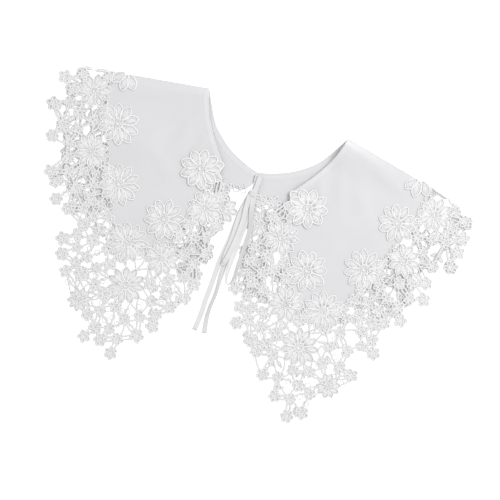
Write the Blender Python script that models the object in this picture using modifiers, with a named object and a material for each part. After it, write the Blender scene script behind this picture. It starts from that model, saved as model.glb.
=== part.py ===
"""Detachable lace collar, laid flat on a table.

Two mirrored wings of fine white cotton with guipure lace borders meet only at the back of the neck.
Each wing is a back panel that lies wrong side up, and a front panel that is folded over it at the
shoulder seam and carries the daisies. A ribbon tie hangs from each corner of the back neck.

Every wing is laid out in polar form about its neck point, where the shoulder seam meets the neckline:
a turn, in degrees from the shoulder seam towards the centre front, and a reach, in millimetres from
the neck point. Tables and routes are in millimetres, meshes in metres.
"""

import math
from collections import namedtuple

import bmesh
import bpy
from mathutils import Quaternion, Vector

MM = 0.001

# Layout of the whole collar
NECK_HALF_WIDTH = 88.0      # centre line to a neck point
NECK_LINE_Y = 173.6         # how far the neck points lie behind the origin
SHOULDER_DROP = 10.0        # degrees that a shoulder seam falls away from the neck
SWING = {1: -1.85, -1: 1.85}    # degrees that each front wing is swung about its neck point
SWING_START = 18.0          # turn at which the swing begins
SWING_SPAN = 30.0           # degrees of turn over which it grows to its full size
NECK_POINT_REACH = 3.0      # panels start this far from the neck point

# Walls
CLOTH = 1.0
LACE = 1.2
TRIM = 0.8                  # daisies, binding and facing
SEAM_GAP = 0.3
TRIM_LIFT = 0.35            # air between a panel and what is sewn on it
FRONT_REST = 1.55           # underside of the front layer above the table
BINDING_WIDTH = 6.5
FACING_WIDTH = 8.0
FACING_START = 13.0         # reach along the back neckline where the facing begins
FACING_HEADROOM = {1: 2.4, -1: 1.3}     # how much the front neck edge rises to clear the facing
HEADROOM_BAND = 26.0        # width of the neck edge that rises

# The roll of the shoulder fold beside the neck
ROLL_HEIGHT = {1: 7.6, -1: 1.6}
ROLL_LENGTH = 76.0
ROLL_CREST = 8.0            # distance of the crest from the shoulder seam
ROLL_WIDTH = 44.0
WAVE_HEIGHT = 0.45
DROP_START = 22.0           # the front layer starts down to the table this far past the back lace
DROP_LENGTH = 40.0

# Mesh divisions
PANEL_COLUMNS = 20
FRONT_RINGS = 9
BACK_RINGS = 6
FRONT_LACE_RINGS = 4
BACK_LACE_RINGS = 3

Edge = namedtuple("Edge", "turn reach")
Neck = namedtuple("Neck", "reach turn")
Daisy = namedtuple("Daisy", "turn reach radius petals over_binding")
RoutePoint = namedtuple("RoutePoint", "x y z lean")

FRONT_CLOTH_EDGE = (
    Edge(0, 118), Edge(29, 131), Edge(52, 168), Edge(64, 203), Edge(72, 214),
    Edge(80, 216), Edge(84, 197), Edge(92, 136), Edge(109, 93),
)
FRONT_LACE_EDGE = (
    Edge(0, 163), Edge(5, 182), Edge(14, 195), Edge(22, 206), Edge(31, 201), Edge(38, 227),
    Edge(44, 234), Edge(50, 230), Edge(54, 262), Edge(58, 281), Edge(64, 300), Edge(70, 334),
    Edge(75, 348), Edge(79, 343), Edge(83, 307), Edge(88, 291), Edge(92, 273), Edge(96, 232),
    Edge(101, 198), Edge(105, 155), Edge(109, 101),
)
BACK_CLOTH_EDGE = (
    Edge(0, 118), Edge(60, 117), Edge(90, 115), Edge(109, 115), Edge(117.4, 126.5),
    Edge(119.6, 127.1), Edge(125.7, 123), Edge(130, 115),
)
BACK_LACE_EDGE = (
    Edge(0, 160), Edge(5, 179), Edge(14, 192), Edge(22, 203), Edge(31, 198), Edge(38, 222),
    Edge(50, 224), Edge(62, 221), Edge(78, 218), Edge(90, 223), Edge(98, 230), Edge(102, 209),
    Edge(106, 178), Edge(111, 150), Edge(116, 137), Edge(119.6, 131),
)
FRONT_NECKLINE = (Neck(0, 93), Neck(20, 95.5), Neck(44, 101), Neck(66, 105), Neck(93, 109))
BACK_NECKLINE = (
    Neck(0, 108), Neck(27, 109), Neck(42, 110.5), Neck(59, 115), Neck(76, 119.4),
    Neck(91, 123.6), Neck(115, 130),
)

NOTCH_DEPTH = 0.3           # share of a daisy's radius between two petals
RIM_POINTS_PER_PETAL = 3
APPLIQUES = {
    "daisy_1": Daisy(30, 117, 24.5, 10, False),
    "daisy_2": Daisy(54.6, 157, 25, 11, False),
    "daisy_3": Daisy(91.7, 96, 24.5, 9, True),
    "daisy_4": Daisy(79, 165, 25, 10, False),
    "daisy_5": Daisy(70, 208, 25, 11, False),
}

# Ribbon ties: y is measured from the neck points, lean turns the ribbon from flat towards its edge
RIBBON_WIDTH = 6.0
RIBBON_THICKNESS = 0.8
RIBBON_STEPS = 2            # mesh stations for each stretch between two route points
UPRIGHT_LIMIT = 0.25        # a steeper ribbon keeps the width direction of the stretch before it
KNOT_CENTRE = (4.2, -99.55, 4.9)
KNOT_SIZE = (10.6, 10.0, 4.6)
TIE_ROUTES = {
    "left_tie_strap": (
        RoutePoint(1.6, -77.0, 2.9, 0), RoutePoint(2.4, -83.0, 2.9, 0),
        RoutePoint(3.4, -88.5, 3.0, 0), RoutePoint(3.8, -93.6, 3.3, 0),
    ),
    "left_tie_loop": (
        RoutePoint(0.6, -105.0, 6.5, 0), RoutePoint(1.8, -118.0, 4.8, 0),
        RoutePoint(3.6, -135.0, 3.1, 0), RoutePoint(3.4, -158.0, 3.0, 0),
        RoutePoint(1.6, -174.0, 3.9, 0), RoutePoint(0.4, -184.0, 4.9, 0),
        RoutePoint(-0.6, -189.6, 4.4, 0), RoutePoint(-1.0, -190.6, 3.2, 0),
        RoutePoint(-1.4, -188.0, 2.2, 0), RoutePoint(-2.2, -178.0, 1.8, 0),
        RoutePoint(-1.2, -158.0, 1.8, 0), RoutePoint(-2.4, -135.0, 1.9, 0),
        RoutePoint(-1.6, -118.0, 2.4, 0), RoutePoint(0.0, -105.0, 4.3, 0),
    ),
    "left_tie_tail": (
        RoutePoint(0.0, -105.0, 3.1, 0), RoutePoint(-2.2, -118.0, 0.9, 0),
        RoutePoint(-3.4, -135.0, 0.7, 0), RoutePoint(-3.8, -155.0, 0.7, 0),
        RoutePoint(-5.0, -175.0, 0.7, 0), RoutePoint(-6.2, -190.0, 0.7, 0),
        RoutePoint(-5.9, -206.0, 0.7, 0), RoutePoint(-5.9, -225.0, 0.7, 0),
        RoutePoint(-6.1, -240.0, 0.7, 0), RoutePoint(-5.4, -256.0, 0.7, 0),
        RoutePoint(-6.4, -277.5, 0.7, 0),
    ),
    "right_tie_strap": (
        RoutePoint(5.0, -77.0, 4.1, 0), RoutePoint(5.2, -83.0, 4.1, 0),
        RoutePoint(5.2, -88.5, 4.3, 0), RoutePoint(5.0, -93.6, 4.7, 0),
    ),
    "right_tie_loop": (
        RoutePoint(6.8, -106.4, 5.4, 0), RoutePoint(9.8, -117.0, 5.0, 20),
        RoutePoint(12.4, -129.0, 4.6, 32), RoutePoint(15.0, -142.0, 4.5, 38),
        RoutePoint(16.0, -164.0, 4.5, 40), RoutePoint(16.4, -184.0, 4.5, 42),
        RoutePoint(16.8, -200.0, 4.6, 58), RoutePoint(15.4, -209.4, 4.7, 75),
        RoutePoint(12.4, -212.8, 4.7, 85), RoutePoint(9.4, -209.4, 4.4, 75),
        RoutePoint(7.2, -200.0, 3.6, 52), RoutePoint(6.4, -188.0, 3.0, 35),
        RoutePoint(6.9, -172.0, 2.2, 10), RoutePoint(7.4, -155.0, 2.0, 0),
        RoutePoint(7.4, -132.0, 2.0, 0), RoutePoint(7.0, -117.0, 2.6, 0),
        RoutePoint(6.6, -105.0, 4.3, 0),
    ),
    "right_tie_tail": (
        RoutePoint(6.6, -105.0, 3.1, 0), RoutePoint(4.8, -118.0, 0.9, 0),
        RoutePoint(3.8, -135.0, 0.7, 0), RoutePoint(2.9, -155.0, 0.7, 0),
        RoutePoint(1.4, -175.0, 0.7, 0), RoutePoint(0.6, -190.0, 0.7, 5),
        RoutePoint(1.2, -206.0, 1.6, 20), RoutePoint(2.2, -220.0, 2.5, 38),
        RoutePoint(2.5, -232.0, 2.5, 40), RoutePoint(1.7, -246.0, 2.5, 38),
        RoutePoint(2.8, -260.0, 1.8, 22), RoutePoint(6.0, -277.0, 0.9, 4),
    ),
}

Finish = namedtuple("Finish", "colour roughness")
FINISHES = {
    "cotton_cloth": Finish((0.78, 0.78, 0.79), 0.85),
    "guipure_lace": Finish((0.84, 0.84, 0.83), 0.8),
    "daisy_lace": Finish((0.88, 0.88, 0.87), 0.75),
    "ribbon": Finish((0.72, 0.72, 0.71), 0.6),
}


def ease(share):
    """A soft step from 0 to 1."""
    share = min(max(share, 0.0), 1.0)
    return share * share * (3.0 - 2.0 * share)


def value_at(table, place):
    """The second column of a table at a place on its first, smooth and never past its rows."""
    if place <= table[0][0]:
        return table[0][1]
    if place >= table[-1][0]:
        return table[-1][1]
    slopes = [(b[1] - a[1]) / (b[0] - a[0]) for a, b in zip(table, table[1:])]
    row = next(i for i in range(len(slopes)) if place <= table[i + 1][0])

    def tangent(i):
        if i == 0 or i == len(slopes) or slopes[i - 1] * slopes[i] <= 0:
            return 0.0 if 0 < i < len(slopes) else slopes[min(i, len(slopes) - 1)]
        return 2.0 * slopes[i - 1] * slopes[i] / (slopes[i - 1] + slopes[i])

    (x0, y0), (x1, y1) = table[row], table[row + 1]
    span = x1 - x0
    t = (place - x0) / span
    return (
        y0 * (1 + 2 * t) * (1 - t) ** 2
        + tangent(row) * span * t * (1 - t) ** 2
        + y1 * t * t * (3 - 2 * t)
        - tangent(row + 1) * span * t * t * (1 - t)
    )


def plan(side, turn, reach, swing=0.0):
    """The place on the table of a point of a wing."""
    turn += swing * ease((turn - SWING_START) / SWING_SPAN)
    heading = math.radians(-SHOULDER_DROP - turn)
    x = max(NECK_HALF_WIDTH + reach * math.cos(heading), SEAM_GAP / 2)
    return Vector((side * x, NECK_LINE_Y + reach * math.sin(heading), 0.0))


def turn_of(side, spoke):
    """The turn that a line from a wing's neck point is seen at, before any swing is taken off."""
    return math.degrees(math.atan2(-spoke.y, side * spoke.x)) - SHOULDER_DROP


def roll(side, turn, reach):
    """Height of the shoulder roll and the distance from the shoulder seam at a point of a wing."""
    angle = math.radians(turn)
    along = reach * math.cos(angle)
    return ROLL_HEIGHT[side] * ease(1.0 - along / ROLL_LENGTH), reach * math.sin(angle)


def back_height(side, turn, reach):
    """Underside of the back layer: on the table, turned up at the shoulder seam."""
    height, away = roll(side, turn, reach)
    return height / 2 * max(1.0 - away / (ROLL_CREST + 1.0), 0.0) ** 2


def front_height(side, turn, reach):
    """Underside of the front layer: over the shoulder roll, on the back layer, then on the table."""
    height, away = roll(side, turn, reach)
    if away < ROLL_CREST:
        rise = 0.5 + 0.5 * math.sin(math.pi / 2 * away / ROLL_CREST)
    else:
        rise = ease(1.0 - (away - ROLL_CREST) / (ROLL_WIDTH - ROLL_CREST))
    past_back = reach - value_at(BACK_LACE_EDGE, turn) - DROP_START
    rest = FRONT_REST * ease(1.0 - past_back / DROP_LENGTH)
    to_neck = math.radians(value_at(FRONT_NECKLINE, reach) - turn) * reach
    headroom = FACING_HEADROOM[side] * ease(1.0 - to_neck / HEADROOM_BAND) * ease(away / ROLL_CREST)
    headroom *= ease((150.0 - reach) / 40.0)
    wave = WAVE_HEIGHT * (0.5 + 0.5 * math.sin(turn / 9.0 + reach / 45.0)) * ease((reach - 60.0) / 60.0)
    return rest + height * rise + headroom + wave * ease(away / 30.0) * ease(1.0 - past_back / DROP_LENGTH)


def fan_points(side, edge, neckline, trim_width, rings, height, swing):
    """Grid of a panel's underside: columns from the shoulder seam to the neckline, rings outwards.

    The last column is as wide as the trim that is sewn along the neckline.
    """
    last_turn = neckline[-1].turn
    columns = []
    for column in range(PANEL_COLUMNS + 1):
        share = min(column / (PANEL_COLUMNS - 1), 1.0)
        at_neckline = column == PANEL_COLUMNS
        edge_turn = last_turn
        if not at_neckline:
            edge_turn = share * (last_turn - math.degrees(trim_width / edge[-1].reach))
        far = value_at(edge, edge_turn)
        points = []
        for ring in range(rings + 1):
            reach = NECK_POINT_REACH + (far - NECK_POINT_REACH) * (ring / rings) ** 1.15
            neck_turn = value_at(neckline, reach)
            turn = neck_turn
            if not at_neckline:
                turn = share * (neck_turn - min(math.degrees(trim_width / reach), neck_turn * 0.45))
            points.append(plan(side, turn, reach, swing) + Vector((0, 0, height(side, turn, reach))))
        columns.append(points)
    return columns


def shifted(line, distance):
    """A line of points moved sideways in plan, to its left, with mitred corners."""
    moved = []
    for i, point in enumerate(line):
        before = line[max(i - 1, 0)]
        after = line[min(i + 1, len(line) - 1)]
        first = (point - before).xy if i else (after - point).xy
        second = (after - point).xy if i < len(line) - 1 else first
        first.normalize()
        second.normalize()
        left = Vector((-first.y - second.y, first.x + second.x)).normalized()
        spread = max(left.dot(Vector((-first.y, first.x))), 0.5)
        step = left * distance / spread
        moved.append(point + Vector((step.x, step.y, 0.0)))
    return moved


def refined(line, cuts):
    """A line of points with each stretch cut into equal straight parts."""
    points = [line[0]]
    for a, b in zip(line, line[1:]):
        points += [a.lerp(b, (i + 1) / cuts) for i in range(cuts)]
    return points


def border_points(side, panel_edge, edge, rings, height, swing, last_turn):
    """Grid of a lace border's underside, from just outside a panel's edge to the lace's own edge."""
    inner = refined(shifted(panel_edge, side * SEAM_GAP), 2)
    neck = Vector((side * NECK_HALF_WIDTH, NECK_LINE_Y))
    columns = []
    for point in inner:
        spoke = point.xy - neck
        near = spoke.length
        seen_turn = turn_of(side, spoke)
        turn = seen_turn - swing * ease((seen_turn - SWING_START) / SWING_SPAN)
        turn = min(max(turn, 0.0), last_turn)
        far = max(value_at(edge, turn), near + 2.0)
        points = []
        for ring in range(rings + 1):
            reach = near + (far - near) * ring / rings
            place = neck + spoke.normalized() * reach
            points.append(Vector((place.x, place.y, height(side, turn, reach))))
        columns.append(points)
    return columns


def lifted(columns, distance):
    """A grid of points moved out along its own upward normals."""
    moved = []
    for i, points in enumerate(columns):
        row = []
        for j, point in enumerate(points):
            across = columns[min(i + 1, len(columns) - 1)][j] - columns[max(i - 1, 0)][j]
            along = points[min(j + 1, len(points) - 1)] - points[max(j - 1, 0)]
            normal = across.cross(along).normalized()
            row.append(point + normal * (distance if normal.z > 0 else -distance))
        moved.append(row)
    return moved


def sheet(name, columns, thickness, finish):
    """A wall on a grid of points: a plane grid bent to the points, with its thickness on top."""
    last_column, last_ring = len(columns) - 1, len(columns[0]) - 1
    bm = bmesh.new()
    bmesh.ops.create_grid(bm, x_segments=last_column, y_segments=last_ring, size=1.0)
    for vert in bm.verts:
        column = round((vert.co.x + 1.0) / 2.0 * last_column)
        ring = round((vert.co.y + 1.0) / 2.0 * last_ring)
        vert.co = columns[column][ring] * MM
    bm.normal_update()
    if sum(face.normal.z for face in bm.faces) < 0:
        bmesh.ops.reverse_faces(bm, faces=bm.faces[:])
    return solid_from(bm, name, thickness, finish)


def solid_from(bm, name, thickness, finish):
    """The object of an open surface, walled by a Solidify modifier."""
    obj = add_object(name, bm, finish)
    wall = obj.modifiers.new("Wall", "SOLIDIFY")
    wall.thickness = thickness * MM
    wall.offset = 1.0
    wall.use_even_offset = True
    return obj


def add_object(name, bm, finish):
    """A named object of a bmesh in the collar's collection, with its own material."""
    mesh = bpy.data.meshes.new(name)
    bm.to_mesh(mesh)
    bm.free()
    mesh.shade_smooth()
    mesh.set_sharp_from_angle(angle=math.radians(40))
    material = bpy.data.materials.new(f"{name}_{finish}")
    material.use_nodes = True
    shader = material.node_tree.nodes["Principled BSDF"]
    shader.inputs["Base Color"].default_value = (*FINISHES[finish].colour, 1.0)
    shader.inputs["Roughness"].default_value = FINISHES[finish].roughness
    shader.inputs["Metallic"].default_value = 0.0
    mesh.materials.append(material)
    obj = bpy.data.objects.new(name, mesh)
    COLLAR.objects.link(obj)
    return obj


def appliqued_daisy(name, side, daisy):
    """A flat daisy on the front layer: a disc with a notch between each two petals."""
    bm = bmesh.new()
    rim = daisy.petals * RIM_POINTS_PER_PETAL
    bmesh.ops.create_circle(bm, cap_ends=True, cap_tris=True, segments=rim, radius=1.0)
    spokes = [edge for edge in bm.edges if not edge.is_boundary]
    bmesh.ops.subdivide_edges(bm, edges=spokes, cuts=1, use_grid_fill=True)
    centre = plan(side, daisy.turn, daisy.reach, SWING[side])
    neck = Vector((side * NECK_HALF_WIDTH, NECK_LINE_Y))
    base = LACE + TRIM_LIFT + (TRIM if daisy.over_binding else 0.0)
    for vert in bm.verts:
        angle = math.atan2(vert.co.x, vert.co.y)
        petal = 1.0 - NOTCH_DEPTH * (0.5 - 0.5 * math.cos(angle * daisy.petals))
        place = centre.xy + vert.co.xy * daisy.radius * (petal if vert.co.length > 0.75 else 1.0)
        spoke = place - neck
        turn = turn_of(side, spoke) - SWING[side]
        height = front_height(side, turn, spoke.length) + base
        vert.co = Vector((place.x, place.y, height)) * MM
    bm.normal_update()
    return solid_from(bm, name, TRIM, "daisy_lace")


def smooth_route(route):
    """Centre points and leans along a route, on one smooth curve through its points."""
    keys = [Vector((p.x, p.y + NECK_LINE_Y, p.z, p.lean)) for p in route]
    keys = [keys[0] * 2 - keys[1]] + keys + [keys[-1] * 2 - keys[-2]]
    stations = []
    for a, b, c, d in zip(keys, keys[1:], keys[2:], keys[3:]):
        for step in range(RIBBON_STEPS):
            t = step / RIBBON_STEPS
            stations.append(
                b * (1 - 3 * t * t + 2 * t ** 3) + c * (3 * t * t - 2 * t ** 3)
                + (c - a) / 2 * (t - 2 * t * t + t ** 3) + (d - b) / 2 * (t ** 3 - t * t)
            )
    stations.append(keys[-2])
    return stations


def ribbon(name, route):
    """A flat ribbon along a route: its width stays level across the curve, and is then leaned."""
    stations = smooth_route(route)
    centres = [station.xyz for station in stations]
    tangents = [
        (centres[min(i + 1, len(centres) - 1)] - centres[max(i - 1, 0)]).normalized()
        for i in range(len(centres))
    ]
    across = Vector((0, 0, 1)).cross(tangents[0]).normalized()
    bm = bmesh.new()
    rings = []
    for i, (centre, tangent) in enumerate(zip(centres, tangents)):
        if i:
            across = tangents[i - 1].rotation_difference(tangent) @ across
        level = Vector((-tangent.y, tangent.x, 0))
        if level.length > UPRIGHT_LIMIT:
            across = level.normalized() * math.copysign(1.0, level.dot(across))
        width = Quaternion(tangent, math.radians(stations[i].w)) @ across
        normal = tangent.cross(width).normalized()
        half_width, half_wall = width * RIBBON_WIDTH / 2, normal * RIBBON_THICKNESS / 2
        corners = (half_width + half_wall, half_wall - half_width,
                   -half_width - half_wall, half_width - half_wall)
        rings.append([bm.verts.new((centre + corner) * MM) for corner in corners])
    for ring, following in zip(rings, rings[1:]):
        for i in range(4):
            bm.faces.new((ring[i - 1], ring[i], following[i], following[i - 1]))
    bm.faces.new(rings[0])
    bm.faces.new(reversed(rings[-1]))
    bmesh.ops.recalc_face_normals(bm, faces=bm.faces)
    return add_object(name, bm, "ribbon")


def knot():
    """The bow's knot: a small block with rounded edges."""
    bm = bmesh.new()
    bmesh.ops.create_cube(bm, size=1.0)
    for vert in bm.verts:
        vert.co = (Vector((a * b for a, b in zip(KNOT_SIZE, vert.co))) + Vector(KNOT_CENTRE)) * MM
        vert.co.y += NECK_LINE_Y * MM
    obj = add_object("tie_knot", bm, "ribbon")
    rounding = obj.modifiers.new("Rounding", "BEVEL")
    rounding.width = 1.6 * MM
    rounding.segments = 2
    return obj


def wing(side):
    """All the pieces of one wing: side is 1 for the right wing and -1 for the left."""
    prefix = "right_" if side > 0 else "left_"
    swing = SWING[side]
    back = fan_points(side, BACK_CLOTH_EDGE, BACK_NECKLINE, FACING_WIDTH, BACK_RINGS, back_height, 0.0)
    sheet(prefix + "back_panel", back, CLOTH, "cotton_cloth")
    facing = lifted(back, CLOTH + TRIM_LIFT)[-2:]
    first = next(ring for ring, point in enumerate(back[-1])
                 if (point.xy - back[-1][0].xy).length > FACING_START - NECK_POINT_REACH)
    sheet(prefix + "back_neck_facing", [points[first:] for points in facing], TRIM, "cotton_cloth")
    neck = Vector((side * NECK_HALF_WIDTH, NECK_LINE_Y))
    back_edge = [
        points[-1] for points in back
        if turn_of(side, points[-1].xy - neck) < BACK_LACE_EDGE[-1].turn
    ]
    back_lace = border_points(
        side, back_edge, BACK_LACE_EDGE, BACK_LACE_RINGS, back_height, 0.0, BACK_LACE_EDGE[-1].turn)
    sheet(prefix + "back_lace", back_lace, LACE, "guipure_lace")

    front = fan_points(
        side, FRONT_CLOTH_EDGE, FRONT_NECKLINE, BINDING_WIDTH, FRONT_RINGS, front_height, swing)
    sheet(prefix + "front_panel", front, CLOTH, "cotton_cloth")
    sheet(prefix + "front_neck_binding", lifted(front, CLOTH + TRIM_LIFT)[-2:], TRIM, "cotton_cloth")
    front_lace = border_points(
        side, [points[-1] for points in front], FRONT_LACE_EDGE, FRONT_LACE_RINGS, front_height,
        swing, FRONT_LACE_EDGE[-1].turn)
    sheet(prefix + "front_lace", front_lace, LACE, "guipure_lace")
    for name, daisy in APPLIQUES.items():
        appliqued_daisy(prefix + name, side, daisy)


for old in list(bpy.data.objects):
    bpy.data.objects.remove(old, do_unlink=True)
COLLAR = bpy.data.collections.new("lace_collar")
bpy.context.scene.collection.children.link(COLLAR)
for wing_side in (1, -1):
    wing(wing_side)
for tie_name, tie_route in TIE_ROUTES.items():
    ribbon(tie_name, tie_route)
knot()
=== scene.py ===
"""Looks of a detachable lace collar that lies flat: cotton wings, guipure borders, daisies and ribbon ties.

Lengths in the tables and in the layout classes are millimetres in the frame's own axes, with the neck
points on the line NECK_LINE_Y; meshes are written in metres. A wing is laid out in polar form about its
neck point: a turn, in degrees from the shoulder seam, and a reach.
"""

import logging
import math
import random
from dataclasses import dataclass, field
from enum import Enum
from typing import Callable, Sequence

import bpy
import numpy as np
from mathutils import Matrix, Quaternion, Vector


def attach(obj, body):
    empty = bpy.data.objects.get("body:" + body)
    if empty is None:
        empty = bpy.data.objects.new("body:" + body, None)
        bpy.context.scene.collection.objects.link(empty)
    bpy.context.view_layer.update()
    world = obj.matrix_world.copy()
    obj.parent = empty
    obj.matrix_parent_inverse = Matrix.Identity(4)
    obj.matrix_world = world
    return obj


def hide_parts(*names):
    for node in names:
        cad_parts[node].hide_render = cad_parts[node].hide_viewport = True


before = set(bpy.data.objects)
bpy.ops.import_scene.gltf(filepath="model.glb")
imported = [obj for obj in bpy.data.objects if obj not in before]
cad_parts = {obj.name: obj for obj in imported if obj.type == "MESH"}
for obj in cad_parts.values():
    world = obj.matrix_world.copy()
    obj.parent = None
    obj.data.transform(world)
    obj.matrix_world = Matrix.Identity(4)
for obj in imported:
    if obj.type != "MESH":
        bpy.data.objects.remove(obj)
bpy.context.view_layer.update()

Piece = bpy.types.Object
Finish = bpy.types.Material
Socket = bpy.types.NodeSocket

MM = 0.001
BODY = "root"
LOG = logging.getLogger("collar")

# The wing in plan
NECK_LINE_Y = 173.6
NECK_HALF_WIDTH = 88.0
SHOULDER_DROP = 10.0        # degrees that a shoulder seam falls away from the neck
CENTRE_GAP = 0.15           # nothing comes nearer to the centre line
SWING_START = 18.0          # turn at which the swing of the front begins
SWING_SPAN = 30.0           # degrees of turn over which it grows
FRONT_CORNER = 109.0        # turns at which the panels and borders end
BACK_CORNER = 130.0
BACK_LACE_CORNER = 119.0
SLIT_TOP = 119.6

# The wing in height
FRONT_REST = 1.55           # underside of the front layer above the table
HEADROOM_BAND = 26.0        # width of the neck edge that rises over the facing
HEADROOM_END = 150.0        # reach at which that rise has ended
HEADROOM_FADE = 40.0
ROLL_LENGTH = 76.0
ROLL_CREST = 8.0            # distance of the roll's crest from the shoulder seam
ROLL_WIDTH = 44.0
WAVE_HEIGHT = 0.45
WAVE_TURN = 9.0             # degrees and millimetres over which the wave turns by one radian
WAVE_REACH = 45.0
WAVE_FADE = 60.0
FOLD_FADE = 30.0
DROP_START = 22.0           # the front layer starts down to the table this far past the back lace
DROP_LENGTH = 40.0

CLOTH_TOP = 1.0             # upper face of a cloth above its underside
CLOTH_WALL = 0.4
CREASE_END = 0.08           # share of half a wave that is left off at each end of a crease
DEEPEST_CREASE = -0.4
HEADING_STEP = 1.5          # an edge's heading is read this far on both sides of a place
SAME_PLACE = 1e-6           # in metres
STITCH_PITCH = 2.6
STITCH_SIZE = (0.95, 0.2, 0.09)

# The lace
MOTIF_NET = {"loop": 0.5, "bar": 1.0, "scroll": 1.0, "ring": 0.7}      # share of the greyer net colour
CENTRE_NET = 0.8
LOOP_SIZES = {5: 1.08, 6: 0.96}     # of a small flower's loops, by their number
BORDER_DAISY_NET = 0.4
USUAL_RADIUS = 24.5         # of a daisy
ECHO_END = 48.0             # up to this turn the back border repeats the front border
LOOPS_START = -138.0        # below this the borders make room for the ties' loops
DAISY_NUMBERS = 1000        # motif numbers of daisies start here


def ease(share: np.ndarray | float) -> np.ndarray | float:
    """A soft step from 0 to 1."""
    share = np.clip(share, 0.0, 1.0)
    return share * share * (3.0 - 2.0 * share)


class Curve:
    """A smooth curve through a short table of places and values, which never passes its rows."""

    def __init__(self, *rows: tuple[float, float]) -> None:
        """Samples the curve finely.

        Args:
            rows: pairs of a place and its value, by rising place.
        """
        x, y = np.array(rows, float).T
        slopes = np.diff(y) / np.diff(x)
        tangents = np.empty(len(x))
        tangents[0], tangents[-1] = slopes[0], slopes[-1]
        product = slopes[:-1] * slopes[1:]
        mean = 2.0 * product / np.where(product > 0, slopes[:-1] + slopes[1:], 1.0)
        tangents[1:-1] = np.where(product > 0, mean, 0.0)
        self.places = np.linspace(x[0], x[-1], 800)
        row = np.clip(np.searchsorted(x, self.places) - 1, 0, len(slopes) - 1)
        span = np.diff(x)[row]
        t = (self.places - x[row]) / span
        self.values = (
            y[row] * (1 + 2 * t) * (1 - t) ** 2
            + tangents[row] * span * t * (1 - t) ** 2
            + y[row + 1] * t * t * (3 - 2 * t)
            - tangents[row + 1] * span * t * t * (1 - t)
        )

    def __call__(self, places: np.ndarray | float) -> np.ndarray:
        """The curve's values at some places."""
        return np.interp(places, self.places, self.values)


FRONT_CLOTH_EDGE = Curve(
    (0, 118), (29, 131), (52, 168), (64, 203), (72, 214), (80, 216), (84, 197), (92, 136), (109, 93))
FRONT_LACE_EDGE = Curve(
    (0, 163), (5, 182), (14, 195), (22, 206), (31, 201), (38, 227), (44, 234), (50, 230), (54, 262),
    (58, 281), (64, 300), (70, 334), (75, 348), (79, 343), (83, 307), (88, 291), (92, 273), (96, 232),
    (101, 198), (105, 155), (109, 101))
BACK_CLOTH_EDGE = Curve(
    (0, 118), (60, 117), (90, 115), (109, 115), (117.4, 126.5), (119.6, 127.1), (125.7, 123), (130, 115))
BACK_LACE_EDGE = Curve(
    (0, 160), (5, 179), (14, 192), (22, 203), (31, 198), (38, 222), (50, 224), (62, 221), (78, 218),
    (90, 223), (98, 230), (102, 209), (106, 178), (111, 150), (116, 137), (119.6, 131))
FRONT_NECKLINE = Curve((0, 93), (20, 95.5), (44, 101), (66, 105), (93, 109))
BACK_NECKLINE = Curve((0, 108), (27, 109), (42, 110.5), (59, 115), (76, 119.4), (91, 123.6), (115, 130))


@dataclass(frozen=True)
class Crease:
    """A soft ridge or trough in the cloth, from one place of a wing to another."""

    start: tuple[float, float]
    end: tuple[float, float]
    width: float
    height: float


FRONT_CREASES = (
    Crease((84, 22), (66, 96), 9.0, 1.3),
    Crease((60, 30), (47, 128), 12.0, 1.2),
    Crease((38, 26), (24, 104), 10.0, -0.5),
    Crease((20, 40), (12, 108), 7.0, 0.8),
    Crease((70, 60), (62, 150), 15.0, -0.5),
    Crease((50, 96), (74, 118), 9.0, 0.9),
    Crease((97, 55), (84, 84), 6.0, 0.9),
)
BACK_CREASES = (
    Crease((106, 30), (96, 96), 8.0, 0.4),
    Crease((118, 88), (104, 104), 6.0, 0.3),
)


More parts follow.
